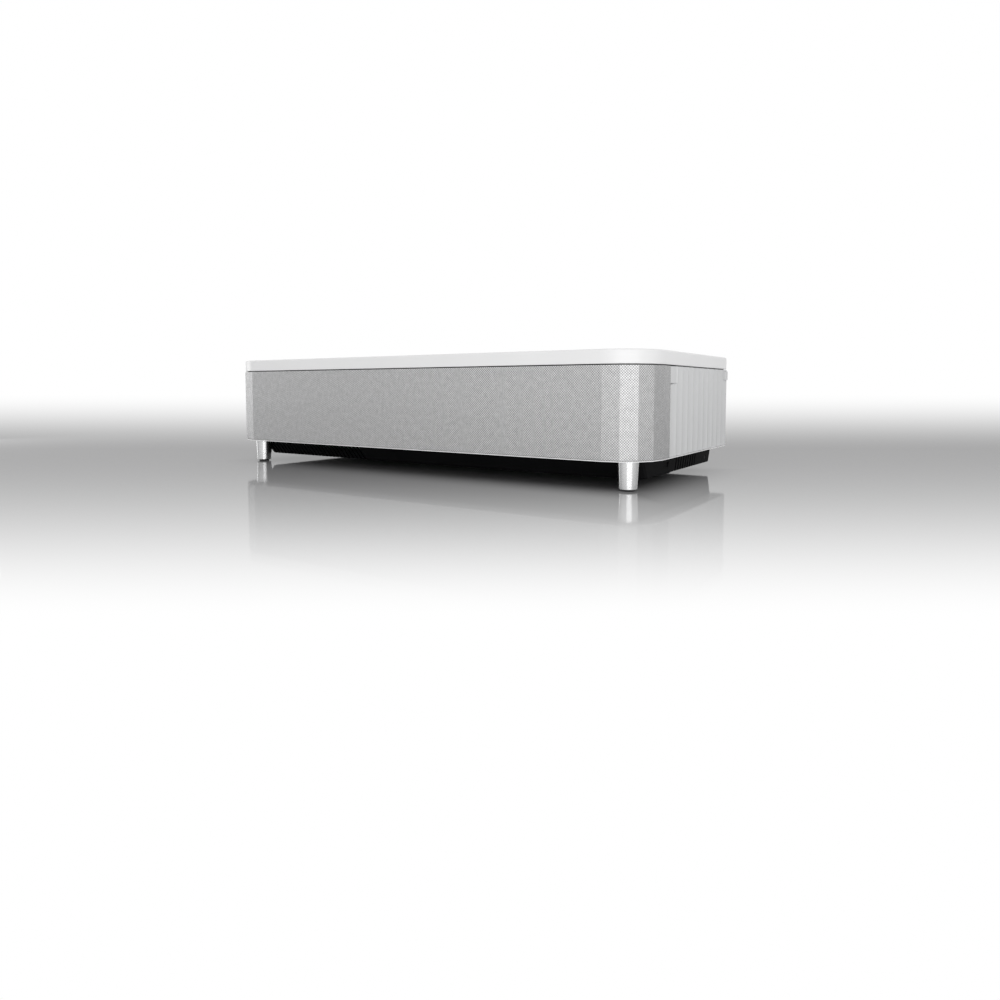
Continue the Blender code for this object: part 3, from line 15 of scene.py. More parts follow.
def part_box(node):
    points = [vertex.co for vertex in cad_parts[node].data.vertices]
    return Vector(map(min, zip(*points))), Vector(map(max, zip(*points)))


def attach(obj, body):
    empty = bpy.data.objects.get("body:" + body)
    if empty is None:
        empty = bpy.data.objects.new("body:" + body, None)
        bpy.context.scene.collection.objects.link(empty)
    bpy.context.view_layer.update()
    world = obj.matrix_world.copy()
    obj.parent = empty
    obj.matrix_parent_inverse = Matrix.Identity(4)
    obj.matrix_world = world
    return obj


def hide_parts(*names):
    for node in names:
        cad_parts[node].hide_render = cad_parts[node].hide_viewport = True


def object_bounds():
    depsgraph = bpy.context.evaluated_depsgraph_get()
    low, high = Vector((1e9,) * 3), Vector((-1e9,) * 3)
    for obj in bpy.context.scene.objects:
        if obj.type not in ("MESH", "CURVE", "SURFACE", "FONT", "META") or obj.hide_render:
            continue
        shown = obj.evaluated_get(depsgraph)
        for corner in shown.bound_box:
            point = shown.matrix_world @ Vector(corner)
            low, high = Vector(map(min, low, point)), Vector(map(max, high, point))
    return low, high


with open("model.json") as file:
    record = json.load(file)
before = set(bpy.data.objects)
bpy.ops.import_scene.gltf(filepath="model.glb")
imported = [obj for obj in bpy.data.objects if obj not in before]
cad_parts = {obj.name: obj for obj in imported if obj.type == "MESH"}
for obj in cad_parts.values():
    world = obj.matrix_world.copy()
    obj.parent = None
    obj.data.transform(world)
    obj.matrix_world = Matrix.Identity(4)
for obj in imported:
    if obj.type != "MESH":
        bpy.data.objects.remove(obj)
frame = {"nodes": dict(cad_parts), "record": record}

MM = 0.001
BODY = "projector"

# Rounding of turned edges, and how far cutters reach past the faces that they break
SOFT_EDGE = 0.3 * MM
CUT_REACH = 5 * MM

# Camera: its place in metres, turns in radians, lens and sensor in millimetres
CAMERA_AT = (0.6128, -0.842, 0.1126)
CAMERA_YAW = 0.58
CAMERA_DROP = 0.065
CAMERA_LENS = 25.43
CAMERA_SENSOR = 36
CAMERA_SHIFT = -0.0654

# Plan corners of the body
COVER_FRONT_RADIUS = 54 * MM
COVER_REAR_RADIUS = 12 * MM
COVER_SKIRT = 3.7 * MM
COVER_SKIN = 4 * MM
COVER_HOLLOW_REAR_RADIUS = 9 * MM
COVER_LOW_RIM = 0.9 * MM
COVER_HIGH_RIM = 1.9 * MM
COVER_LEAST_RADIUS = 1 * MM
FACET_RADIUS = 51 * MM
FACETS = 4
REAR_RADIUS = 9 * MM

# Acoustic fabric
WEAVE_PITCH = 2.9 * MM
WEAVE_DARK = (0.27, 0.27, 0.272)
WEAVE_MID = (0.47, 0.47, 0.473)
WEAVE_LIGHT = (0.72, 0.72, 0.724)
WEAVE_GLINT = 0.7
CLOTH_THICK = 1 * MM
CLOTH_STEP = 6 * MM
CLOTH_ROWS = 18
FOLD_REACH = 0.7 * MM
DRUM_DEPTH = 0.16 * MM
DRUM_FLATNESS = 0.6
LATTICE_COLUMNS = 8
LATTICE_ROWS = 2

# Fluted side panels
FLUTES = 11
FLUTE_PITCH = 19.6 * MM
FLUTE_DEPTH = 1.4 * MM
FLUTE_STEPS = 14
PANEL_IN = 4 * MM
PANEL_EDGE = 0.8 * MM
PANEL_RETURN = 15 * MM
PANEL_OUT_REAR = 0.2 * MM
CATCH_GAP = 0.3 * MM
CATCH_SLOT = 1.2 * MM
CATCH_SLOT_LENGTH = 9 * MM
CATCH_HOLE_RADIUS = 0.6 * MM
PANEL_RIM = 0.35 * MM
PANEL_CUT_INSIDE = 1 * MM
PANEL_CUT_OUTSIDE = 2 * MM

# Openings in the cover
OPENING_CHAMFER = 0.45 * MM
OPENING_REACH = 1 * MM
WINDOW_Y = 73 * MM
WINDOW_HALF_X = 112 * MM
WINDOW_HALF_Y = 55 * MM
WINDOW_RADIUS = 12 * MM
WINDOW_LEAST_RADIUS = 3 * MM
SENSOR_GAP = 0.3 * MM
SENSOR_END_FLAT = 0.02 * MM

# Window well, as insets from the window's outline
WELL_FLANGE = -6 * MM
WELL_EDGE = 0.3 * MM
WELL_STEPS = ((4 * MM, 152 * MM), (8 * MM, 149.5 * MM), (12 * MM, 147 * MM))
WELL_LEDGE = 16 * MM
WELL_THROAT = 22 * MM
WELL_GAP = 0.3 * MM

# Power key
BUTTON_RADIUS = 8 * MM
BUTTON_GAP = 0.4 * MM
BUTTON_FLANGE = (1.6 * MM, 3.7 * MM)
BUTTON_STEM_RADIUS = 3 * MM
BUTTON_DISH = ((0, 0.9 * MM), (3 * MM, 0.82 * MM), (5.6 * MM, 0.45 * MM), (6.9 * MM, 0))
BUTTON_RIM_DROP = 0.25 * MM
BUTTON_SOFT = 0.5 * MM

# Front legs
LEG_TAPER = 1.55 * MM
LEG_FOOT_EDGE = 0.5 * MM
LEG_SOCKET_DEEP = 1.6 * MM
LEG_SOCKET_GAP = 0.3 * MM
LEG_PAD_EDGE = 0.5 * MM

# Rear feet
FOOT_SOCKET_RADIUS = 5.3 * MM
FOOT_SOCKET_FLOOR = 3 * MM
FOOT_EDGE = 1 * MM
FOOT_GROOVE = 0.5 * MM
FOOT_GROOVE_HALF = 0.4 * MM
STUD_RADIUS = 4 * MM
STUD_END = 1 * MM
STUD_COLLAR_RADIUS = 5 * MM
STUD_COLLAR_HIGH = 1.7 * MM
STUD_STEPS_A_TURN = 6
STUD_PITCH = 1.25 * MM
STUD_THREAD = 0.55 * MM
STUD_TOLERANCE = 0.1 * MM

# Side screws; the dome's steps are (share of the head's radius, drop below its top)
SCREW_DOME = ((0, 0), (0.55, 0.05 * MM), (0.85, 0.3 * MM), (1, 0.7 * MM))
SCREW_SOFT = 0.15 * MM
SCREW_HEAD_HIGH = 1 * MM
SCREW_SHANK = 1.3 * MM
SCREW_POINT = 1 * MM
SCREW_CROSS_DEEP = 0.7 * MM
SCREW_CROSS_LONG = 0.6
SCREW_CROSS_HALF = 0.25 * MM
SCREW_CROSS_CUT = 1 * MM

# Connector contacts
CONTACT_THICK = 0.18 * MM
CONTACT_EDGE = 0.04 * MM
CONTACT_BACK = 5.2 * MM

# Circuit boards: between these heights, parts are chips and cans; above, they stay green
CHIPS_FROM = 21 * MM
CHIPS_TO = 57 * MM

# Softened edges of solids that stay as they are
BEVELLED = {
    "front_catch_left": 0.35 * MM,
    "front_catch_right": 0.35 * MM,
    "rear_catch_left": 0.35 * MM,
    "rear_catch_right": 0.35 * MM,
    "sensor_window_left": 0.3 * MM,
    "sensor_window_right": 0.3 * MM,
}

# Floor: a painted white glow fades in where 1 / (metres ahead of the camera) runs through these pairs
VIEW_ALONG = (-0.548, 0.8365, 0)
FLOOR_RADIUS = 14
FLOOR_DROP = 0.02 * MM
FLOOR_NEAREST = 0.05
FLOOR_NEAR = (0.7, 2.95)
FLOOR_FAR = (0.05, 0.78)
FLOOR_GREY = (0.2, 0.2, 0.202, 1)
FLOOR_POLISH = 0.38
FLOOR_ROUGHNESS = 0.05
# Painted shadow round the body: the glow is held off inside its outline drawn in by the first length,
# and fades back in over the second
FLOOR_SHADOW_INSET = 50 * MM
FLOOR_SHADOW_FADE = 90 * MM

# Room light: strengths, and the run over which the backdrop beyond the object fades in
SKY_BACKDROP = 1.0
SKY_FADE = (0.1, 0.7)
SKY_RIGHT = 0.78
SKY_FRONT = 1.08
SKY_ABOVE = 0.1
SKY_ROOM = 0.15

# Soft lamps: place, target and size in metres, then watts
KEY_LAMP = ((1.05, -1.0, 0.14), (0.3, -0.12, 0.06), (1.25, 0.24), 2.5)
RIM_LAMP = ((-1.15, -0.3, 0.16), (-0.33, -0.08, 0.09), (0.3, 0.3), 0.75)

cad_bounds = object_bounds()
nodes = frame["nodes"]


# ---------------------------------------------------------------- material graphs


class Tree:
    """Short names for adding nodes to a node tree and wiring them up."""

    def __init__(self, tree, coordinates="Object"):
        self.tree = tree
        self.place = self.node("ShaderNodeTexCoord").outputs[coordinates]

    def set(self, node, sockets):
        for socket, value in sockets.items():
            node.inputs[socket].default_value = value

    def node(self, kind, sockets=None, **settings):
        made = self.tree.nodes.new(kind)
        for setting, value in settings.items():
            setattr(made, setting, value)
        self.set(made, sockets or {})
        return made

    def link(self, source, target):
        self.tree.links.new(source, target)

    def along(self, direction):
        """How far a place lies along a direction."""
        dot = self.node("ShaderNodeVectorMath", {1: direction}, operation="DOT_PRODUCT")
        self.link(self.place, dot.inputs[0])
        return dot.outputs["Value"]

    def stretched(self, scale, place=None):
        """Coordinates scaled differently along each axis."""
        mapping = self.node("ShaderNodeMapping", {"Scale": scale})
        self.link(place or self.place, mapping.inputs["Vector"])
        return mapping.outputs["Vector"]

    def noise(self, scale, detail=2.0, place=None):
        made = self.node("ShaderNodeTexNoise", {"Scale": scale, "Detail": detail})
        self.link(place or self.place, made.inputs["Vector"])
        return made.outputs["Fac"]

    def cells(self, scale, place=None):
        made = self.node("ShaderNodeTexVoronoi", {"Scale": scale})
        self.link(place or self.place, made.inputs["Vector"])
        return made.outputs["Distance"]

    def math(self, operation, *values):
        made = self.node("ShaderNodeMath", operation=operation)
        for socket, value in zip(made.inputs, values):
            if isinstance(value, (int, float)):
                socket.default_value = value
            else:
                self.link(value, socket)
        return made.outputs["Value"]

    def span(self, value, low, high, from_low=0.3, from_high=0.7, curve="LINEAR"):
        """Maps a value onto a range of numbers, and holds it at the ends."""
        made = self.node(
            "ShaderNodeMapRange",
            {"From Min": from_low, "From Max": from_high, "To Min": low, "To Max": high},
            interpolation_type=curve,
        )
        self.link(value, made.inputs["Value"])
        return made.outputs["Result"]

    def shades(self, value, stops):
        """Maps a texture's value onto a run of colours; stops are (place, colour)."""
        ramp = self.node("ShaderNodeValToRGB")
        elements = ramp.color_ramp.elements
        while len(elements) < len(stops):
            elements.new(0.5)
        for element, (place, colour) in zip(elements, stops):
            element.position = place
            element.color = (*colour, 1)
        self.link(value, ramp.inputs["Fac"])
        return ramp.outputs["Color"]


class Graph(Tree):
    """One material's nodes, wired to its Principled shader."""

    def __init__(self, name, colour, roughness, metallic=0.0, **sockets):
        self.material = bpy.data.materials.new(name)
        self.material.use_nodes = True
        super().__init__(self.material.node_tree)
        self.shader = self.tree.nodes["Principled BSDF"]
        self.set(self.shader, {"Base Color": (*colour, 1), "Roughness": roughness, "Metallic": metallic})
        self.set(self.shader, sockets)
        self.colour = colour
        self.roughness = roughness

    def mottle(self, value, share):
        """Varies the base colour a little either way."""
        dark = tuple(c * (1 - share) for c in self.colour)
        light = tuple(min(c * (1 + share), 1.0) for c in self.colour)
        self.link(self.shades(value, [(0.3, dark), (0.7, light)]), self.shader.inputs["Base Color"])

    def gloss(self, value, share):
        """Varies the roughness a little either way."""
        low, high = self.roughness - share, self.roughness + share
        self.link(self.span(value, low, high), self.shader.inputs["Roughness"])

    def bump(self, value, depth, strength=1.0, under=None):
        made = self.node("ShaderNodeBump", {"Distance": depth, "Strength": strength})
        self.link(value, made.inputs["Height"])
        if under:
            self.link(under, made.inputs["Normal"])
        return made.outputs["Normal"]

    def normal(self, value):
        self.link(value, self.shader.inputs["Normal"])


def moulded_plastic(name, colour, roughness, grain=1400, depth=0.012 * MM, share=0.02, **sockets):
    """Moulded plastic with a fine eroded grain and a faint unevenness in tone and gloss."""
    graph = Graph(name, colour, roughness, **sockets)
    broad = graph.noise(18, 3)
    fine = graph.noise(grain, 3)
    graph.mottle(broad, share)
    graph.gloss(fine, 0.05)
    graph.normal(graph.bump(fine, depth))
    return graph.material


def satin_paint():
    """Sprayed satin off-white: a soft orange peel under a thin clear coat."""
    graph = Graph(
        "satin_white_paint", (0.79, 0.79, 0.793), 0.36, **{"Coat Weight": 0.25, "Coat Roughness": 0.22}
    )
    broad = graph.noise(9, 3)
    peel = graph.noise(420, 2)
    speck = graph.noise(2600, 2)
    graph.mottle(broad, 0.012)
    graph.gloss(speck, 0.04)
    graph.normal(graph.bump(peel, 0.01 * MM, under=graph.bump(speck, 0.003 * MM)))
    return graph.material


def acoustic_weave():
    """Open dot weave in two greys: raised pale yarn over dark gaps, with uneven yarn."""
    graph = Graph("acoustic_weave", WEAVE_MID, 0.6, WEAVE_GLINT)
    cloth = graph.node("ShaderNodeAttribute", attribute_name="cloth_place").outputs["Vector"]
    parts = graph.node("ShaderNodeSeparateXYZ")
    graph.link(cloth, parts.inputs["Vector"])
    turns = 2 * math.pi / WEAVE_PITCH
    across = graph.math("SINE", graph.math("MULTIPLY", parts.outputs["X"], turns))
    up = graph.math("SINE", graph.math("MULTIPLY", parts.outputs["Y"], turns))
    dots = graph.math("MULTIPLY", across, up)
    yarn = graph.noise(520, 3, graph.stretched((1, 1, 0.25), cloth))
    slub = graph.noise(1, 2, graph.stretched((700, 90, 1), cloth))
    broad = graph.noise(150, 2, cloth)
    uneven = graph.math("ADD", graph.span(yarn, -0.1, 0.1), graph.span(slub, -0.06, 0.06))
    uneven = graph.math("ADD", uneven, graph.span(broad, 0.44, 0.56))
    height = graph.math("MULTIPLY_ADD", dots, 0.5, uneven)
    stops = [(0.1, WEAVE_DARK), (0.5, WEAVE_MID), (0.9, WEAVE_LIGHT)]
    graph.link(graph.shades(height, stops), graph.shader.inputs["Base Color"])
    graph.link(graph.span(height, 0.54, 0.42, 0.0, 1.0), graph.shader.inputs["Roughness"])
    graph.normal(graph.bump(height, 0.16 * MM, 0.4))
    return graph.material


def turned_metal():
    """Lathe-turned and satin-polished aluminium, with fine rings round the axis."""
    spread = {"Anisotropic": 0.9, "Anisotropic Rotation": 0.25}
    graph = Graph("turned_satin_metal", (0.88, 0.882, 0.885), 0.22, 1.0, **spread)
    rings = graph.noise(1, 2, graph.stretched((30, 30, 5200)))
    cloud = graph.noise(70, 3)
    graph.mottle(cloud, 0.015)
    graph.gloss(rings, 0.015)
    graph.normal(graph.bump(rings, 0.0002 * MM))
    return graph.material


def raw_metal(name, colour, roughness, scale=240):
    """Cast, milled or drawn metal with a clouded sheen."""
    graph = Graph(name, colour, roughness, 1.0)
    cloud = graph.noise(scale, 4)
    scratch = graph.noise(1, 2, graph.stretched((90, 1800, 1800)))
    graph.mottle(cloud, 0.08)
    graph.gloss(scratch, 0.08)
    graph.normal(graph.bump(cloud, 0.03 * MM, under=graph.bump(scratch, 0.006 * MM)))
    return graph.material


def rubber():
    graph = Graph("pad_rubber", (0.014, 0.014, 0.015), 0.78)
    grain = graph.cells(1800)
    graph.mottle(graph.noise(120, 3), 0.2)
    graph.gloss(graph.noise(300, 2), 0.06)
    graph.normal(graph.bump(grain, 0.03 * MM, 0.6))
    return graph.material


def dark_gloss():
    graph = Graph("infrared_gloss_black", (0.012, 0.011, 0.014), 0.07, **{"Coat Weight": 0.6})
    graph.mottle(graph.noise(60, 2), 0.2)
    graph.gloss(graph.noise(500, 2), 0.02)
    return graph.material


def window_pane():
    """Coated optical glass."""
    graph = Graph(
        "coated_glass", (0.93, 0.97, 0.98), 0.02,
        **{"Transmission Weight": 1.0, "IOR": 1.46, "Coat Weight": 0.3, "Coat Tint": (0.6, 0.75, 1, 1)},
    )
    graph.gloss(graph.noise(40, 3), 0.012)
    return graph.material


def mirror_coat():
    graph = Graph("front_silver", (0.93, 0.93, 0.94), 0.03, 1.0)
    graph.gloss(graph.noise(80, 2), 0.012)
    return graph.material


def circuit_board():
    """Green board with tracks; parts at the low board's heights are dark chips and grey cans."""
    graph = Graph("circuit_board", (0.02, 0.11, 0.05), 0.42)
    tracks = graph.node("ShaderNodeTexBrick", {"Scale": 160.0, "Mortar Size": 0.08})
    graph.link(graph.place, tracks.inputs["Vector"])
    graph.set(tracks, {"Color1": (0.018, 0.1, 0.045, 1), "Color2": (0.024, 0.13, 0.06, 1)})
    graph.set(tracks, {"Mortar": (0.05, 0.2, 0.09, 1)})
    parts = graph.node("ShaderNodeSeparateXYZ")
    graph.link(graph.place, parts.inputs["Vector"])
    blocks = graph.noise(30, 0)
    chips = graph.shades(blocks, [(0.4, (0.02, 0.02, 0.022)), (0.6, (0.3, 0.3, 0.31))])
    mix = graph.node("ShaderNodeMix", data_type="RGBA")
    folded = graph.math("PINGPONG", parts.outputs["Z"], (CHIPS_FROM + CHIPS_TO) / 2)
    graph.link(graph.math("GREATER_THAN", folded, CHIPS_FROM), mix.inputs["Factor"])
    graph.link(tracks.outputs["Color"], mix.inputs["A"])
    graph.link(chips, mix.inputs["B"])
    graph.link(mix.outputs["Result"], graph.shader.inputs["Base Color"])
    graph.gloss(graph.noise(200, 2), 0.06)
    graph.normal(graph.bump(graph.noise(900, 2), 0.05 * MM))
    return graph.material


def phosphor_disc():
    """A pale metal disc that carries a yellow phosphor band near its rim."""
    graph = Graph("phosphor_disc", (0.8, 0.72, 0.22), 0.45)
    low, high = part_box("phosphor_wheel")
    centre = (low + high) / 2
    away = graph.node("ShaderNodeVectorMath", {1: centre}, operation="DISTANCE")
    graph.link(graph.place, away.inputs[0])
    radius = (high.z - low.z) / 2
    share = graph.math("DIVIDE", away.outputs["Value"], radius)
    metal, yellow = (0.6, 0.61, 0.62), (0.82, 0.74, 0.16)
    stops = [(0.0, metal), (0.74, metal), (0.76, yellow), (0.95, yellow), (0.97, metal)]
    graph.link(graph.shades(share, stops), graph.shader.inputs["Base Color"])
    graph.gloss(graph.noise(600, 2), 0.08)
    return graph.material


def slot_materials():
    """One material for each of the record's finishes."""
    return {
        "satin_white": satin_paint(),
        "light_grey_plastic": moulded_plastic("light_grey_plastic", (0.63, 0.635, 0.64), 0.4),
        "black_plastic": moulded_plastic(
            "black_plastic", (0.006, 0.006, 0.0065), 0.6, 1100, 0.03 * MM, 0.15,
            **{"Specular IOR Level": 0.04},
        ),
        "dark_gloss": dark_gloss(),
        "satin_metal": turned_metal(),
        "raw_aluminium": raw_metal("raw_aluminium", (0.62, 0.63, 0.65), 0.36),
        "rubber_pad": rubber(),
        "clear_glass": window_pane(),
        "mirror_coat": mirror_coat(),
        "circuit_board": circuit_board(),
        "copper_tube": raw_metal("copper_tube", (0.72, 0.36, 0.2), 0.28),
        "cone_paper": moulded_plastic("cone_paper", (0.03, 0.03, 0.034), 0.7, 500, 0.08 * MM, 0.2),
        "phosphor": phosphor_disc(),
        "plated_steel": raw_metal("plated_steel", (0.56, 0.56, 0.58), 0.3),
        "black_steel": raw_metal("black_steel", (0.05, 0.05, 0.055), 0.4),
        "brass": raw_metal("machined_brass", (0.75, 0.58, 0.25), 0.28),
        "grey_weave": acoustic_weave(),
    }


# ---------------------------------------------------------------- mesh helpers


def arc(centre_u, centre_v, radius, start, end, steps):
    """Points on a circular arc in degrees, both ends included."""
    angles = [math.radians(start + (end - start) * i / steps) for i in range(steps + 1)]
    return [(centre_u + radius * math.cos(a), centre_v + radius * math.sin(a)) for a in angles]


def rounded_rectangle(low_u, low_v, high_u, high_v, radius, steps):
    points = arc(high_u - radius, low_v + radius, radius, -90, 0, steps)
    points += arc(high_u - radius, high_v - radius, radius, 0, 90, steps)
    points += arc(low_u + radius, high_v - radius, radius, 90, 180, steps)
    points += arc(low_u + radius, low_v + radius, radius, 180, 270, steps)
    return points


def rectangle(low_u, low_v, high_u, high_v):
    return [(low_u, low_v), (high_u, low_v), (high_u, high_v), (low_u, high_v)]


def centred(centre_u, centre_v, half_u, half_v, radius, steps=6):
    """A rounded rectangle round its centre."""
    return rounded_rectangle(
        centre_u - half_u, centre_v - half_v, centre_u + half_u, centre_v + half_v, radius, steps
    )


def level_ring(outline, level):
    return [Vector((u, v, level)) for u, v in outline]


def loft(name, rings, ends="caps"):
    """A surface through matching rings of points; its ends are capped or joined together."""
    mesh = bmesh.new()
    made = [[mesh.verts.new(point) for point in ring] for ring in rings]
    pairs = list(zip(made, made[1:]))
    if ends == "joined":
        pairs.append((made[-1], made[0]))
    for below, above in pairs:
        for i in range(len(below)):
            j = (i + 1) % len(below)
            mesh.faces.new((below[i], below[j], above[j], above[i]))
    if ends == "caps":
        mesh.faces.new(made[0])
        mesh.faces.new(made[-1])
    return new_object(name, mesh)


def new_object(name, mesh):
    bmesh.ops.recalc_face_normals(mesh, faces=mesh.faces)
    data = bpy.data.meshes.new(name)
    mesh.to_mesh(data)
    mesh.free()
    made = bpy.data.objects.new(name, data)
    bpy.context.scene.collection.objects.link(made)
    return made


def along_x(outline, x):
    """Turns an outline in Y and Z into a ring at one X."""
    return [Vector((x, u, v)) for u, v in outline]


def lathe(name, profile, segments, centre, axis=(0, 0, 1), thread=None):
    """A turned solid from a (radius, height) profile that starts and ends on the axis."""
    mesh = bmesh.new()
    turn = Vector((0, 0, 1)).rotation_difference(Vector(axis)).to_matrix().to_4x4()
    place = Matrix.Translation(Vector(centre)) @ turn
    rings = []
    for radius, height in profile:
        if radius == 0:
            rings.append([mesh.verts.new(place @ Vector((0, 0, height)))])
            continue
        ring = []
        for step in range(segments):
            angle = 2 * math.pi * step / segments
            reach = radius - (thread(radius, height, angle) if thread else 0)
            point = Vector((reach * math.cos(angle), reach * math.sin(angle), height))
            ring.append(mesh.verts.new(place @ point))
        rings.append(ring)
    for below, above in zip(rings, rings[1:]):
        for i in range(segments):
            j = (i + 1) % segments
            corners = [below[0]] if len(below) == 1 else [below[i], below[j]]
            corners += [above[0]] if len(above) == 1 else [above[j], above[i]]
            if len(corners) > 2:
                mesh.faces.new(corners)
    return new_object(name, mesh)


def softened(profile, reach, steps=4):
    """A profile whose inner corners are rounded, by a curve that starts a reach before each."""
    points = [profile[0]]
    for before, corner, after in zip(profile, profile[1:], profile[2:]):
        before, corner, after = Vector(before), Vector(corner), Vector(after)
        back, ahead = before - corner, after - corner
        near = min(reach, back.length * 0.45, ahead.length * 0.45)
        start = corner + back.normalized() * near
        end = corner + ahead.normalized() * near
        for step in range(steps + 1):
            t = step / steps
            point = start * (1 - t) ** 2 + corner * 2 * t * (1 - t) + end * t * t
            points.append(tuple(point))
    points.append(profile[-1])
    return points


def carve(piece, tools, operation="DIFFERENCE"):
    """Cuts closed shapes out of a piece, or joins them on, and drops the shapes."""
    for tool in tools:
        modifier = piece.modifiers.new(tool.name, "BOOLEAN")
        modifier.operation = operation
        modifier.solver = "EXACT"
        modifier.object = tool
    bpy.context.view_layer.update()
    evaluated = piece.evaluated_get(bpy.context.evaluated_depsgraph_get())
    mesh = bpy.data.meshes.new_from_object(evaluated)
    piece.modifiers.clear()
    piece.data = mesh
    for tool in tools:
        bpy.data.objects.remove(tool)


def bevel_rims(piece, levels, width, segments=3):
    """Rounds the edges that lie flat at some heights."""
    mesh = bmesh.new()
    mesh.from_mesh(piece.data)
    for level in levels:
        edges = [e for e in mesh.edges if all(abs(v.co.z - level) < 1e-6 for v in e.verts)]
        bmesh.ops.bevel(
            mesh, geom=edges, offset=width, offset_type="OFFSET", segments=segments, profile=0.5,
            affect="EDGES",
        )
    mesh.to_mesh(piece.data)
    mesh.free()


def smooth(piece, degrees=32):
    """Shades round faces smooth, keeps real edges sharp and flat faces flat."""
    piece.data.shade_smooth()
    piece.data.set_sharp_from_angle(angle=math.radians(degrees))
    weighted = piece.modifiers.new("weighted", "WEIGHTED_NORMAL")
    weighted.keep_sharp = True


def add_piece(piece, material, body=BODY, replaces=()):
    """Gives a new piece its finish and the body that it moves with."""
    piece.data.materials.clear()
    piece.data.materials.append(material)
    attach(piece, body)
    if replaces:
        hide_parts(*replaces)


# ---------------------------------------------------------------- cover and window


def cover_outline(half_x, half_y, inset, rear_radius=COVER_REAR_RADIUS, steps=20):
    """The slab's plan, with wide round corners in front and tight ones behind."""
    front = COVER_FRONT_RADIUS - inset
    rear = max(rear_radius - inset, COVER_LEAST_RADIUS)
    half_x = half_x - inset
    half_y = half_y - inset
    points = arc(half_x - front, front - half_y, front, -90, 0, steps)
    points += arc(half_x - rear, half_y - rear, rear, 0, 90, 8)
    points += arc(rear - half_x, half_y - rear, rear, 90, 180, 8)
    points += arc(front - half_x, front - half_y, front, 180, 270, steps)
    return points


def rim_profile(low, high, low_radius, high_radius, steps=6):
    """(inset, level) pairs up a wall whose lower and upper rims are quarter rounds."""
    pairs = []
    for step in range(steps + 1):
        angle = math.pi / 2 * step / steps
        pairs.append((low_radius * (1 - math.sin(angle)), low + low_radius * (1 - math.cos(angle))))
    for step in range(steps + 1):
        angle = math.pi / 2 * step / steps
        pairs.append((high_radius * (1 - math.cos(angle)), high - high_radius * (1 - math.sin(angle))))
    return pairs


def window_outline(inset, steps=8):
    radius = max(WINDOW_RADIUS - inset / 2, WINDOW_LEAST_RADIUS)
    return centred(0, WINDOW_Y, WINDOW_HALF_X - inset, WINDOW_HALF_Y - inset, radius, steps)


def flared(name, outline_at, top, bottom):
    """A cutter whose mouth is chamfered where it breaks the top surface."""
    levels = [(0, bottom), (0, top - OPENING_CHAMFER), (OPENING_CHAMFER, top)]
    levels.append((OPENING_CHAMFER + OPENING_REACH, top + OPENING_REACH))
    return loft(name, [level_ring(outline_at(grow), level) for grow, level in levels])


def sensor_slot(side, top, bottom):
    """The cutter for a sensor's slot, a little wider than its lens."""
    low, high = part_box(f"sensor_window_{side}")
    centre = (low + high) / 2
    half = (high - low) / 2

    def outline(grow):
        reach = grow + SENSOR_GAP
        round_end = half.y + reach - SENSOR_END_FLAT
        return centred(centre.x, centre.y, half.x + reach, half.y + reach, round_end, 8)

    return flared(f"sensor_{side}", outline, top, bottom)


def button_hole(top, bottom):
    """The cutter for the round hole that the power key stands in."""
    low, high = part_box("power_button")
    centre = (low + high) / 2
    radius = BUTTON_RADIUS + BUTTON_GAP

    def outline(grow):
        return arc(centre.x, centre.y, radius + grow, 0, 360, 64)[:-1]

    return flared("button", outline, top, bottom)


def make_slab_cover(materials):
    """The painted slab: rounded rims, a hollow underside and its chamfered openings."""
    low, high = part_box("top_cover")
    half_x, half_y = high.x, high.y
    rings = []
    for inset, level in rim_profile(low.z, high.z, COVER_LOW_RIM, COVER_HIGH_RIM):
        rings.append(level_ring(cover_outline(half_x, half_y, inset), level))
    slab = loft("slab_cover", rings)
    inside = high.z - COVER_SKIN
    hollow_outline = cover_outline(half_x, half_y, COVER_SKIRT, COVER_HOLLOW_REAR_RADIUS)
    hollow = loft("hollow", [level_ring(hollow_outline, z) for z in (low.z - CUT_REACH, inside)])
    below = inside - OPENING_REACH
    tools = [hollow, flared("window", lambda grow: window_outline(-grow), high.z, below)]
    tools += [sensor_slot(side, high.z, below) for side in ("left", "right")]
    tools.append(button_hole(high.z, below))
    carve(slab, tools)
    smooth(slab)
    add_piece(slab, materials["satin_white"], replaces=["top_cover"])


def make_window_well():
    """The stepped black well that keeps stray light out of the projection window."""
    low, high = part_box("window_bezel")
    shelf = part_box("top_cover")[1].z - COVER_SKIN - WELL_GAP
    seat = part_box("window_glass")[0].z - WELL_GAP
    profile = [(WELL_FLANGE, low.z), (WELL_FLANGE, shelf), (WELL_EDGE, shelf), (WELL_EDGE, high.z)]
    level = high.z
    for inset, floor in (*WELL_STEPS, (WELL_LEDGE, seat)):
        profile += [(inset, level), (inset, floor)]
        level = floor
    profile += [(WELL_THROAT, level), (WELL_THROAT, low.z)]
    closed = softened([profile[-1]] + profile + [profile[0]], SOFT_EDGE, 2)[1:-1]
    well = loft("window_well", [level_ring(window_outline(i), z) for i, z in closed], "joined")
    smooth(well, degrees=40)
    black = moulded_plastic("well_black", (0.012, 0.012, 0.013), 0.62, 900, 0.05 * MM, 0.2)
    add_piece(well, black, replaces=["window_bezel"])


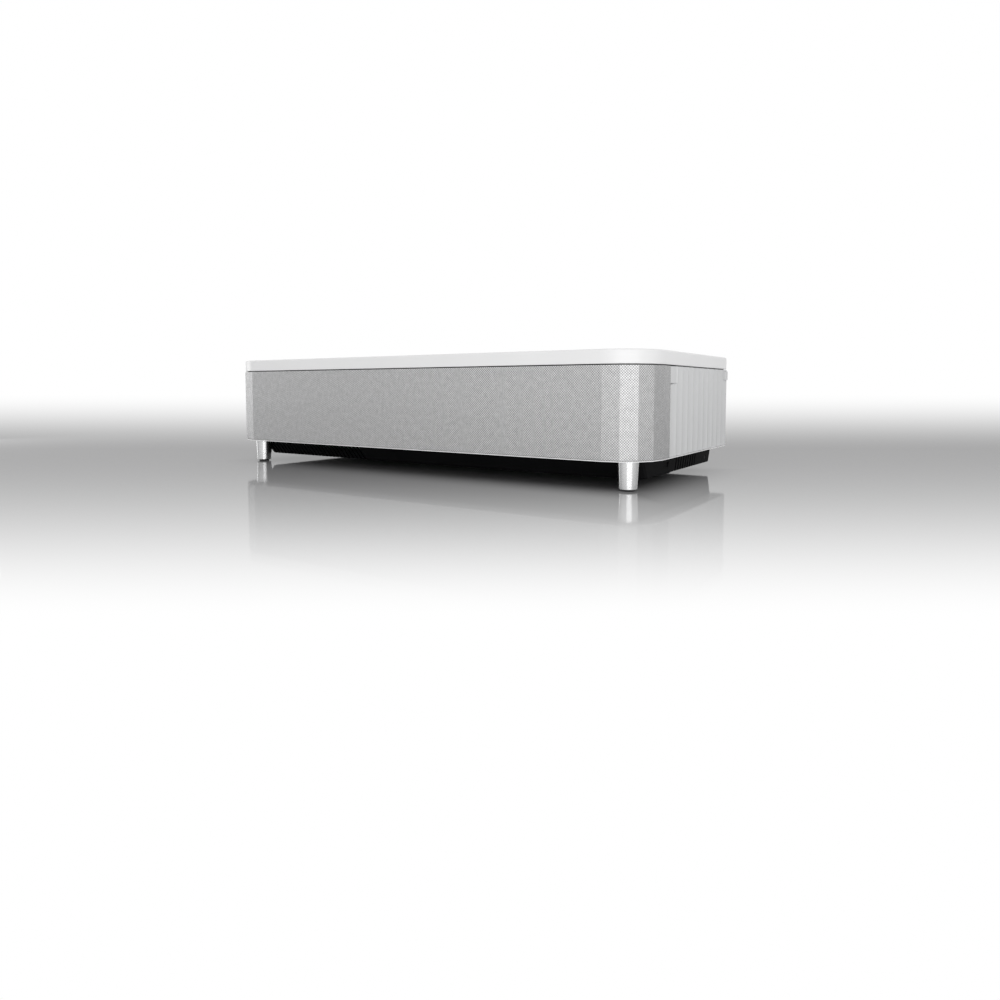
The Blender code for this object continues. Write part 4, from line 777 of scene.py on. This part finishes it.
def make_button(materials):
    """The power key: a dished cap with a rounded rim on its flange."""
    low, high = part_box("power_button")
    centre = (low + high) / 2
    top = high.z - low.z
    flange = (high.x - low.x) / 2
    flange_low, flange_high = BUTTON_FLANGE
    profile = [(radius, top - drop) for radius, drop in BUTTON_DISH]
    profile += [(BUTTON_RADIUS, top - BUTTON_RIM_DROP), (BUTTON_RADIUS, flange_high)]
    profile += [(flange, flange_high), (flange, flange_low), (BUTTON_STEM_RADIUS, flange_low)]
    profile += [(BUTTON_STEM_RADIUS, 0), (0, 0)]
    cap = lathe("power_key", softened(profile, BUTTON_SOFT), 72, (centre.x, centre.y, low.z))
    smooth(cap)
    add_piece(
        cap, materials["light_grey_plastic"], "power_button_body",
        ["power_button"],
    )


# ---------------------------------------------------------------- fabric


def front_path(half_x, half_y, end_y):
    """The faceted front seen from above, from the left end round to the right one."""
    left = arc(FACET_RADIUS - half_x, FACET_RADIUS - half_y, FACET_RADIUS, 180, 270, FACETS)
    right = arc(half_x - FACET_RADIUS, FACET_RADIUS - half_y, FACET_RADIUS, 270, 360, FACETS)
    return [(-half_x, end_y)] + left + right + [(half_x, end_y)]


def divided(path, longest):
    """A path with points added so that none of its steps is longer than a length."""
    points = [Vector(path[0])]
    for start, end in zip(path, path[1:]):
        start, end = Vector(start), Vector(end)
        count = max(1, math.ceil((end - start).length / longest))
        points += [start.lerp(end, i / count) for i in range(1, count + 1)]
    return points


def path_normals(points):
    """The outward direction at each point of a path that runs with the body on its left."""
    normals = []
    for i in range(len(points)):
        ahead = points[min(i + 1, len(points) - 1)] - points[max(i - 1, 0)]
        normals.append(Vector((ahead.y, -ahead.x)).normalized())
    return normals


def fabric_section(low, high, thick, steps):
    """(inset, level) round the cloth's section: up its face, over a folded hem and down."""
    half = thick / 2
    face = [(0, low + half + (high - low - thick) * i / steps) for i in range(steps + 1)]
    hem = [(half - half * math.cos(a), high - half + half * math.sin(a)) for a in half_turn()]
    back = [(thick, level) for _, level in reversed(face)]
    foot = [(half + half * math.cos(a), low + half - half * math.sin(a)) for a in half_turn()]
    return face + hem + back + foot


def half_turn(steps=6):
    """The angles between the two ends of a half turn."""
    return [math.pi * i / steps for i in range(1, steps)]


def drum(x, level, half_x, low, high):
    """How far the cloth dips between the bars of the lattice behind it."""
    if abs(x) >= half_x:
        return 0.0
    column = (x / half_x + 1) / 2 * LATTICE_COLUMNS
    row = (level - low) / (high - low) * LATTICE_ROWS
    dip = math.sin(math.pi * (column % 1)) * math.sin(math.pi * (row % 1))
    return DRUM_DEPTH * max(dip, 0.0) ** DRUM_FLATNESS


def make_fabric(materials):
    """The acoustic cloth, pulled tight round the faceted frame and hemmed at its edges."""
    low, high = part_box("grille_fabric")
    half_x = high.x
    half_y = -low.y
    flat_half = half_x - FACET_RADIUS
    path = softened(front_path(half_x, half_y, high.y), FOLD_REACH, 3)
    points = divided(path, CLOTH_STEP)
    normals = path_normals(points)
    section = fabric_section(low.z, high.z, CLOTH_THICK, CLOTH_ROWS)
    mesh = bmesh.new()
    layer = mesh.verts.layers.float_vector.new("cloth_place")
    along = 0.0
    rings = []
    for i, (point, normal) in enumerate(zip(points, normals)):
        along += (point - points[i - 1]).length if i else 0.0
        ring = []
        for inset, level in section:
            dip = drum(point.x, level, flat_half, low.z, high.z)
            place = point - normal * (inset + dip * (1 - inset / CLOTH_THICK))
            vert = mesh.verts.new((place.x, place.y, level))
            vert[layer] = (along, level, inset)
            ring.append(vert)
        rings.append(ring)
    for before, after in zip(rings, rings[1:]):
        for i in range(len(before)):
            j = (i + 1) % len(before)
            mesh.faces.new((before[i], before[j], after[j], after[i]))
    mesh.faces.new(rings[0])
    mesh.faces.new(rings[-1])
    fabric = new_object("acoustic_fabric", mesh)
    smooth(fabric, degrees=50)
    add_piece(fabric, materials["grey_weave"], replaces=["grille_fabric"])


# ---------------------------------------------------------------- side panels


def flute_line(half_x, start_y):
    """Shallow scallops that meet in narrow ridges, from the front of the panel to the back."""
    points = []
    for flute in range(FLUTES):
        for step in range(FLUTE_STEPS):
            share = step / FLUTE_STEPS
            dip = FLUTE_DEPTH * (1 - (2 * share - 1) ** 2)
            points.append((half_x - dip, start_y + (flute + share) * FLUTE_PITCH))
    points.append((half_x, start_y + FLUTES * FLUTE_PITCH))
    return points


def make_side_panel(side, sign, materials):
    """The fluted side, wrapped round the rear corner, with room for its two catches."""
    low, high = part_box(f"side_panel_{side}")
    half_x = max(abs(low.x), abs(high.x))
    half_y = high.y + PANEL_OUT_REAR
    corner = (half_x - REAR_RADIUS, half_y - REAR_RADIUS)
    outline = arc(half_x - PANEL_EDGE, low.y + PANEL_EDGE, PANEL_EDGE, -90, 0, 4)
    outline += flute_line(half_x, low.y)[1:]
    outline += arc(*corner, REAR_RADIUS - PANEL_OUT_REAR, 0, 90, 12)
    outline += [(half_x - PANEL_RETURN, high.y), (half_x - PANEL_RETURN, half_y - PANEL_IN)]
    outline += arc(*corner, REAR_RADIUS - PANEL_IN, 90, 0, 8)
    outline += [(half_x - PANEL_IN, low.y)]
    outline = [(sign * u, v) for u, v in outline]
    panel = loft(f"fluted_side_{side}", [level_ring(outline, z) for z in (low.z, high.z)])
    bevel_rims(panel, (low.z, high.z), PANEL_RIM)
    inner = half_x - PANEL_IN - PANEL_CUT_INSIDE
    reach = (sign * inner, sign * (half_x + PANEL_CUT_OUTSIDE))
    front_low, front_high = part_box(f"front_catch_{side}")
    floor = front_low.z - CATCH_GAP
    slot_end = front_low.y + CATCH_SLOT_LENGTH
    back = front_high.y + CATCH_GAP
    ahead = front_low.y - CUT_REACH
    over = high.z + CUT_REACH
    notch = [(ahead, floor - CATCH_SLOT), (slot_end, floor - CATCH_SLOT), (slot_end, floor)]
    notch += [(back, floor), (back, over), (ahead, over)]
    rear_low, rear_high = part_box(f"rear_catch_{side}")
    hole = centred(
        (rear_low.y + rear_high.y) / 2, (rear_low.z + rear_high.z) / 2,
        (rear_high.y - rear_low.y) / 2 + CATCH_GAP, (rear_high.z - rear_low.z) / 2 + CATCH_GAP,
        CATCH_HOLE_RADIUS, 3,
    )
    tools = [
        loft("front_notch", [along_x(notch, x) for x in reach]),
        loft("rear_notch", [along_x(hole, x) for x in reach]),
    ]
    carve(panel, tools)
    smooth(panel, degrees=16)
    add_piece(
        panel, materials["light_grey_plastic"], replaces=[f"side_panel_{side}"]
    )


# ---------------------------------------------------------------- feet and screws


def make_leg(side, materials):
    """A tapered metal leg with a rolled foot edge, and its rubber pad."""
    low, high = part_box(f"front_leg_{side}")
    centre = (low + high) / 2
    top_radius = (high.x - low.x) / 2
    foot_radius = top_radius - LEG_TAPER
    pad_low, pad_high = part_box(f"front_leg_pad_{side}")
    pad_radius = (pad_high.x - pad_low.x) / 2
    socket = pad_radius + LEG_SOCKET_GAP
    height = high.z - low.z
    profile = [(0, height), (top_radius, height)]
    profile += [(foot_radius, LEG_FOOT_EDGE), (foot_radius - LEG_FOOT_EDGE, 0)]
    profile += [(socket, 0), (socket, LEG_SOCKET_DEEP), (0, LEG_SOCKET_DEEP)]
    leg = lathe(f"metal_leg_{side}", softened(profile, SOFT_EDGE), 96, (centre.x, centre.y, low.z))
    smooth(leg)
    add_piece(leg, materials["satin_metal"], replaces=[f"front_leg_{side}"])
    thick = pad_high.z - pad_low.z
    profile = [(0, thick), (pad_radius, thick)]
    profile += [(pad_radius, LEG_PAD_EDGE), (pad_radius - LEG_PAD_EDGE, 0), (0, 0)]
    pad = lathe(f"leg_pad_{side}", softened(profile, SOFT_EDGE), 64, (centre.x, centre.y, pad_low.z))
    smooth(pad)
    add_piece(pad, materials["rubber_pad"], replaces=[f"front_leg_pad_{side}"])


def stud_thread(radius, height, angle):
    """Depth of a single-start thread on the part of the stud that has its full radius."""
    if abs(radius - STUD_RADIUS) > STUD_TOLERANCE:
        return 0.0
    phase = (height / STUD_PITCH - angle / (2 * math.pi)) % 1
    return STUD_THREAD * (1 - abs(2 * phase - 1))


def make_rear_foot(side, materials):
    """A levelling foot: a grooved rubber pad and a threaded steel stud."""
    low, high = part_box(f"rear_foot_pad_{side}")
    centre = (low + high) / 2
    radius = (high.x - low.x) / 2
    thick = high.z - low.z
    socket, floor = FOOT_SOCKET_RADIUS, FOOT_SOCKET_FLOOR
    profile = [(0, floor), (socket, floor), (socket, thick), (radius - FOOT_EDGE, thick)]
    profile += [(radius, thick - FOOT_EDGE), (radius, floor + FOOT_GROOVE_HALF)]
    profile += [(radius - FOOT_GROOVE, floor), (radius, floor - FOOT_GROOVE_HALF)]
    profile += [(radius, FOOT_EDGE), (radius - FOOT_EDGE, 0), (0, 0)]
    pad = lathe(f"levelling_pad_{side}", softened(profile, SOFT_EDGE), 72, (centre.x, centre.y, low.z))
    smooth(pad)
    add_piece(
        pad, materials["rubber_pad"], f"foot_pad_body_{side}", [f"rear_foot_pad_{side}"]
    )
    low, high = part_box(f"rear_foot_stud_{side}")
    length = high.z - low.z
    profile = [(0, length), (STUD_RADIUS - STUD_END, length)]
    rise = STUD_PITCH / STUD_STEPS_A_TURN
    steps = int((length - STUD_END - STUD_COLLAR_HIGH) / rise)
    profile += [(STUD_RADIUS, length - STUD_END - step * rise) for step in range(steps + 1)]
    profile += [(STUD_COLLAR_RADIUS, STUD_COLLAR_HIGH), (STUD_COLLAR_RADIUS, 0), (0, 0)]
    stud = lathe(
        f"levelling_stud_{side}", profile, 40, (centre.x, centre.y, low.z), thread=stud_thread
    )
    stud.data.shade_smooth()
    stud.data.set_sharp_from_angle(angle=math.radians(50))
    add_piece(
        stud, materials["plated_steel"], f"foot_stud_body_{side}",
        [f"rear_foot_stud_{side}"],
    )


def make_side_screw(side, sign, materials):
    """A pan-head screw with a cross recess."""
    low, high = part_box(f"side_screw_{side}")
    head = (high.z - low.z) / 2
    face = max(abs(low.x), abs(high.x))
    length = high.x - low.x
    centre = (sign * (face - length), (low.y + high.y) / 2, (low.z + high.z) / 2)
    seat = length - SCREW_HEAD_HIGH
    profile = [(head * share, length - drop) for share, drop in SCREW_DOME]
    profile += [(head, seat), (SCREW_SHANK, seat), (SCREW_SHANK, SCREW_POINT), (0, 0)]
    screw = lathe(f"panel_screw_{side}", softened(profile, SCREW_SOFT), 40, centre, (sign, 0, 0))
    arms = []
    y, z = centre[1], centre[2]
    depth = (sign * (face - SCREW_CROSS_DEEP), sign * (face + SCREW_CROSS_CUT))
    long, narrow = head * SCREW_CROSS_LONG, SCREW_CROSS_HALF
    for name, half_u, half_v in (("across", long, narrow), ("up", narrow, long)):
        outline = rectangle(y - half_u, z - half_v, y + half_u, z + half_v)
        arms.append(loft(name, [along_x(outline, x) for x in depth]))
    carve(screw, arms)
    smooth(screw)
    add_piece(screw, materials["black_steel"], replaces=[f"side_screw_{side}"])


# ---------------------------------------------------------------- connectors


def make_contacts(name, node, count, width, spread, level, depth, material):
    """A comb of thin plated contacts just inside a connector's mouth."""
    low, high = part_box(node)
    middle = (low.x + high.x) / 2
    mesh = bmesh.new()
    for number in range(count):
        x = middle + (number - (count - 1) / 2) * spread / max(count - 1, 1)
        size = (width, depth, CONTACT_THICK)
        place = Matrix.Translation((x, high.y - CONTACT_BACK - depth / 2, low.z + level))
        bmesh.ops.create_cube(mesh, size=1, matrix=place @ Matrix.Diagonal((*size, 1)))
    contacts = new_object(name, mesh)
    bevel = contacts.modifiers.new("edges", "BEVEL")
    bevel.width = CONTACT_EDGE
    bevel.segments = 1
    add_piece(contacts, material)


def make_connector_details():
    """The contacts in each socket: how many, and their width, spread, level and depth."""
    gold = raw_metal("gold_contacts", (0.83, 0.64, 0.28), 0.25, 600)
    video = (9, 0.4 * MM, 8 * MM, 2.1 * MM, 5 * MM)
    make_contacts("lan_contacts", "lan_port", 8, 0.45 * MM, 8.2 * MM, 3.6 * MM, 6 * MM, gold)
    make_contacts("usb_contacts", "usb_port", 4, 1.0 * MM, 7.5 * MM, 2.3 * MM, 5 * MM, gold)
    for number in (1, 2, 3):
        make_contacts(f"hdmi_contacts_{number}", f"hdmi_port_{number}", *video, gold)


# ---------------------------------------------------------------- kept solids


def dress_nodes(materials):
    """Gives every solid its finish, and those that stay smooth round faces and softened edges."""
    slots = {row["node"]: row["material_slot"] for row in frame["record"]["subparts"]}
    # The bottom trim is a real light grey strip, lightened to near white as a painted highlight along
    # its edge
    own = {"bottom_trim": moulded_plastic("trim_grey_painted_highlight", (0.9, 0.9, 0.905), 0.3)}
    for name, node in nodes.items():
        node.data.materials.clear()
        node.data.materials.append(own.get(name, materials[slots[name]]))
        if node.hide_render:
            continue
        if name in BEVELLED:
            bevel = node.modifiers.new("edges", "BEVEL")
            bevel.width = BEVELLED[name]
            bevel.segments = 2
            bevel.limit_method = "ANGLE"
            bevel.angle_limit = math.radians(40)
            bevel.harden_normals = True
        smooth(node, degrees=30)


# ---------------------------------------------------------------- stage


def make_floor():
    """A polished grey floor that fades into a painted white glow in front of the object and far behind
    it; near the body the glow is held off, a painted shadow.
    """
    mesh = bmesh.new()
    bmesh.ops.create_circle(mesh, cap_ends=True, segments=96, radius=FLOOR_RADIUS)
    floor = new_object("floor", mesh)
    floor.location.z = cad_bounds[0].z - FLOOR_DROP
    material = bpy.data.materials.new("pale_floor")
    material.use_nodes = True
    graph = Tree(material.node_tree)
    graph.tree.nodes.remove(graph.tree.nodes["Principled BSDF"])
    to_camera = -Vector(CAMERA_AT).dot(Vector(VIEW_ALONG))
    deep = graph.math("ADD", graph.along(VIEW_ALONG), to_camera)
    closeness = graph.math("DIVIDE", 1.0, graph.math("MAXIMUM", deep, FLOOR_NEAREST))
    near = graph.span(closeness, 0.0, 1.0, *FLOOR_NEAR, curve="SMOOTHSTEP")
    far = graph.span(closeness, 1.0, 0.0, *FLOOR_FAR, curve="SMOOTHSTEP")
    parts = graph.node("ShaderNodeSeparateXYZ")
    graph.link(graph.place, parts.inputs["Vector"])
    # Painted shadow: near the body the glow is held off, so the floor stays grey and dark there
    beyond = []
    for axis, half in (("X", cad_bounds[1].x), ("Y", cad_bounds[1].y)):
        away = graph.math("ABSOLUTE", parts.outputs[axis])
        beyond.append(graph.math("SUBTRACT", away, half - FLOOR_SHADOW_INSET))
    clear = graph.math("MAXIMUM", *beyond)
    unshadowed_share = graph.span(clear, 0.0, 1.0, 0.0, FLOOR_SHADOW_FADE, curve="SMOOTHSTEP")
    painted_glow_share = graph.math("MULTIPLY", graph.math("MAXIMUM", near, far), unshadowed_share)
    matt = graph.node("ShaderNodeBsdfDiffuse", {"Color": FLOOR_GREY})
    polish = graph.node("ShaderNodeBsdfGlossy", {"Roughness": FLOOR_ROUGHNESS})
    surface = graph.node("ShaderNodeMixShader", {"Fac": FLOOR_POLISH})
    graph.link(matt.outputs["BSDF"], surface.inputs[1])
    graph.link(polish.outputs["BSDF"], surface.inputs[2])
    # Painted light: the floor emits white here, though it is no lamp
    white = graph.node("ShaderNodeEmission")
    faded = graph.node("ShaderNodeMixShader")
    graph.link(painted_glow_share, faded.inputs["Fac"])
    graph.link(surface.outputs["Shader"], faded.inputs[1])
    graph.link(white.outputs["Emission"], faded.inputs[2])
    graph.link(faded.outputs["Shader"], graph.tree.nodes["Material Output"].inputs["Surface"])
    floor.data.materials.append(material)


def make_light(name, place, target, size, power):
    data = bpy.data.lights.new(name, "AREA")
    data.shape = "RECTANGLE"
    data.size, data.size_y = size
    data.energy = power
    light = bpy.data.objects.new(name, data)
    bpy.context.scene.collection.objects.link(light)
    light.location = place
    aim = Vector(target) - Vector(place)
    light.rotation_euler = aim.to_track_quat("-Z", "Y").to_euler()


def make_sky():
    """A white backdrop beyond the object, and a room that is brightest ahead of its front."""
    world = bpy.data.worlds.new("studio")
    bpy.context.scene.world = world
    world.use_nodes = True
    graph = Tree(world.node_tree, "Generated")
    backdrop = graph.span(graph.along(VIEW_ALONG), 0.0, SKY_BACKDROP, *SKY_FADE, curve="SMOOTHSTEP")
    room = graph.math("SUBTRACT", SKY_BACKDROP, backdrop)
    right = graph.math("MAXIMUM", graph.along((SKY_RIGHT, 0, 0)), 0.0)
    front = graph.math("MAXIMUM", graph.along((0, -SKY_FRONT, 0)), 0.0)
    above = graph.math("MAXIMUM", graph.along((0, 0, SKY_ABOVE)), 0.0)
    sides = graph.math("ADD", graph.math("ADD", right, front), graph.math("ADD", above, SKY_ROOM))
    background = graph.tree.nodes["Background"]
    background.inputs["Color"].default_value = (1, 1, 1, 1)
    strength = graph.math("MULTIPLY_ADD", room, sides, backdrop)
    graph.link(strength, background.inputs["Strength"])


def make_lights():
    make_sky()
    make_light("key", *KEY_LAMP)
    make_light("left_rim", *RIM_LAMP)
    bpy.context.scene.view_settings.view_transform = "Standard"


def make_camera():
    data = bpy.data.cameras.new("camera")
    data.lens = CAMERA_LENS
    data.sensor_width = CAMERA_SENSOR
    data.shift_y = CAMERA_SHIFT
    data.clip_start = 0.01
    data.clip_end = 100
    camera = bpy.data.objects.new("camera", data)
    bpy.context.scene.collection.objects.link(camera)
    camera.location = CAMERA_AT
    camera.rotation_euler = (math.pi / 2 - CAMERA_DROP, 0, CAMERA_YAW)
    bpy.context.scene.camera = camera


# ---------------------------------------------------------------- assembly

make_camera()
make_lights()
make_floor()
finishes = slot_materials()
make_slab_cover(finishes)
make_window_well()
make_button(finishes)
make_fabric(finishes)
for side_name, side_sign in (("left", -1), ("right", 1)):
    make_side_panel(side_name, side_sign, finishes)
    make_leg(side_name, finishes)
    make_rear_foot(side_name, finishes)
    make_side_screw(side_name, side_sign, finishes)
make_connector_details()
dress_nodes(finishes)
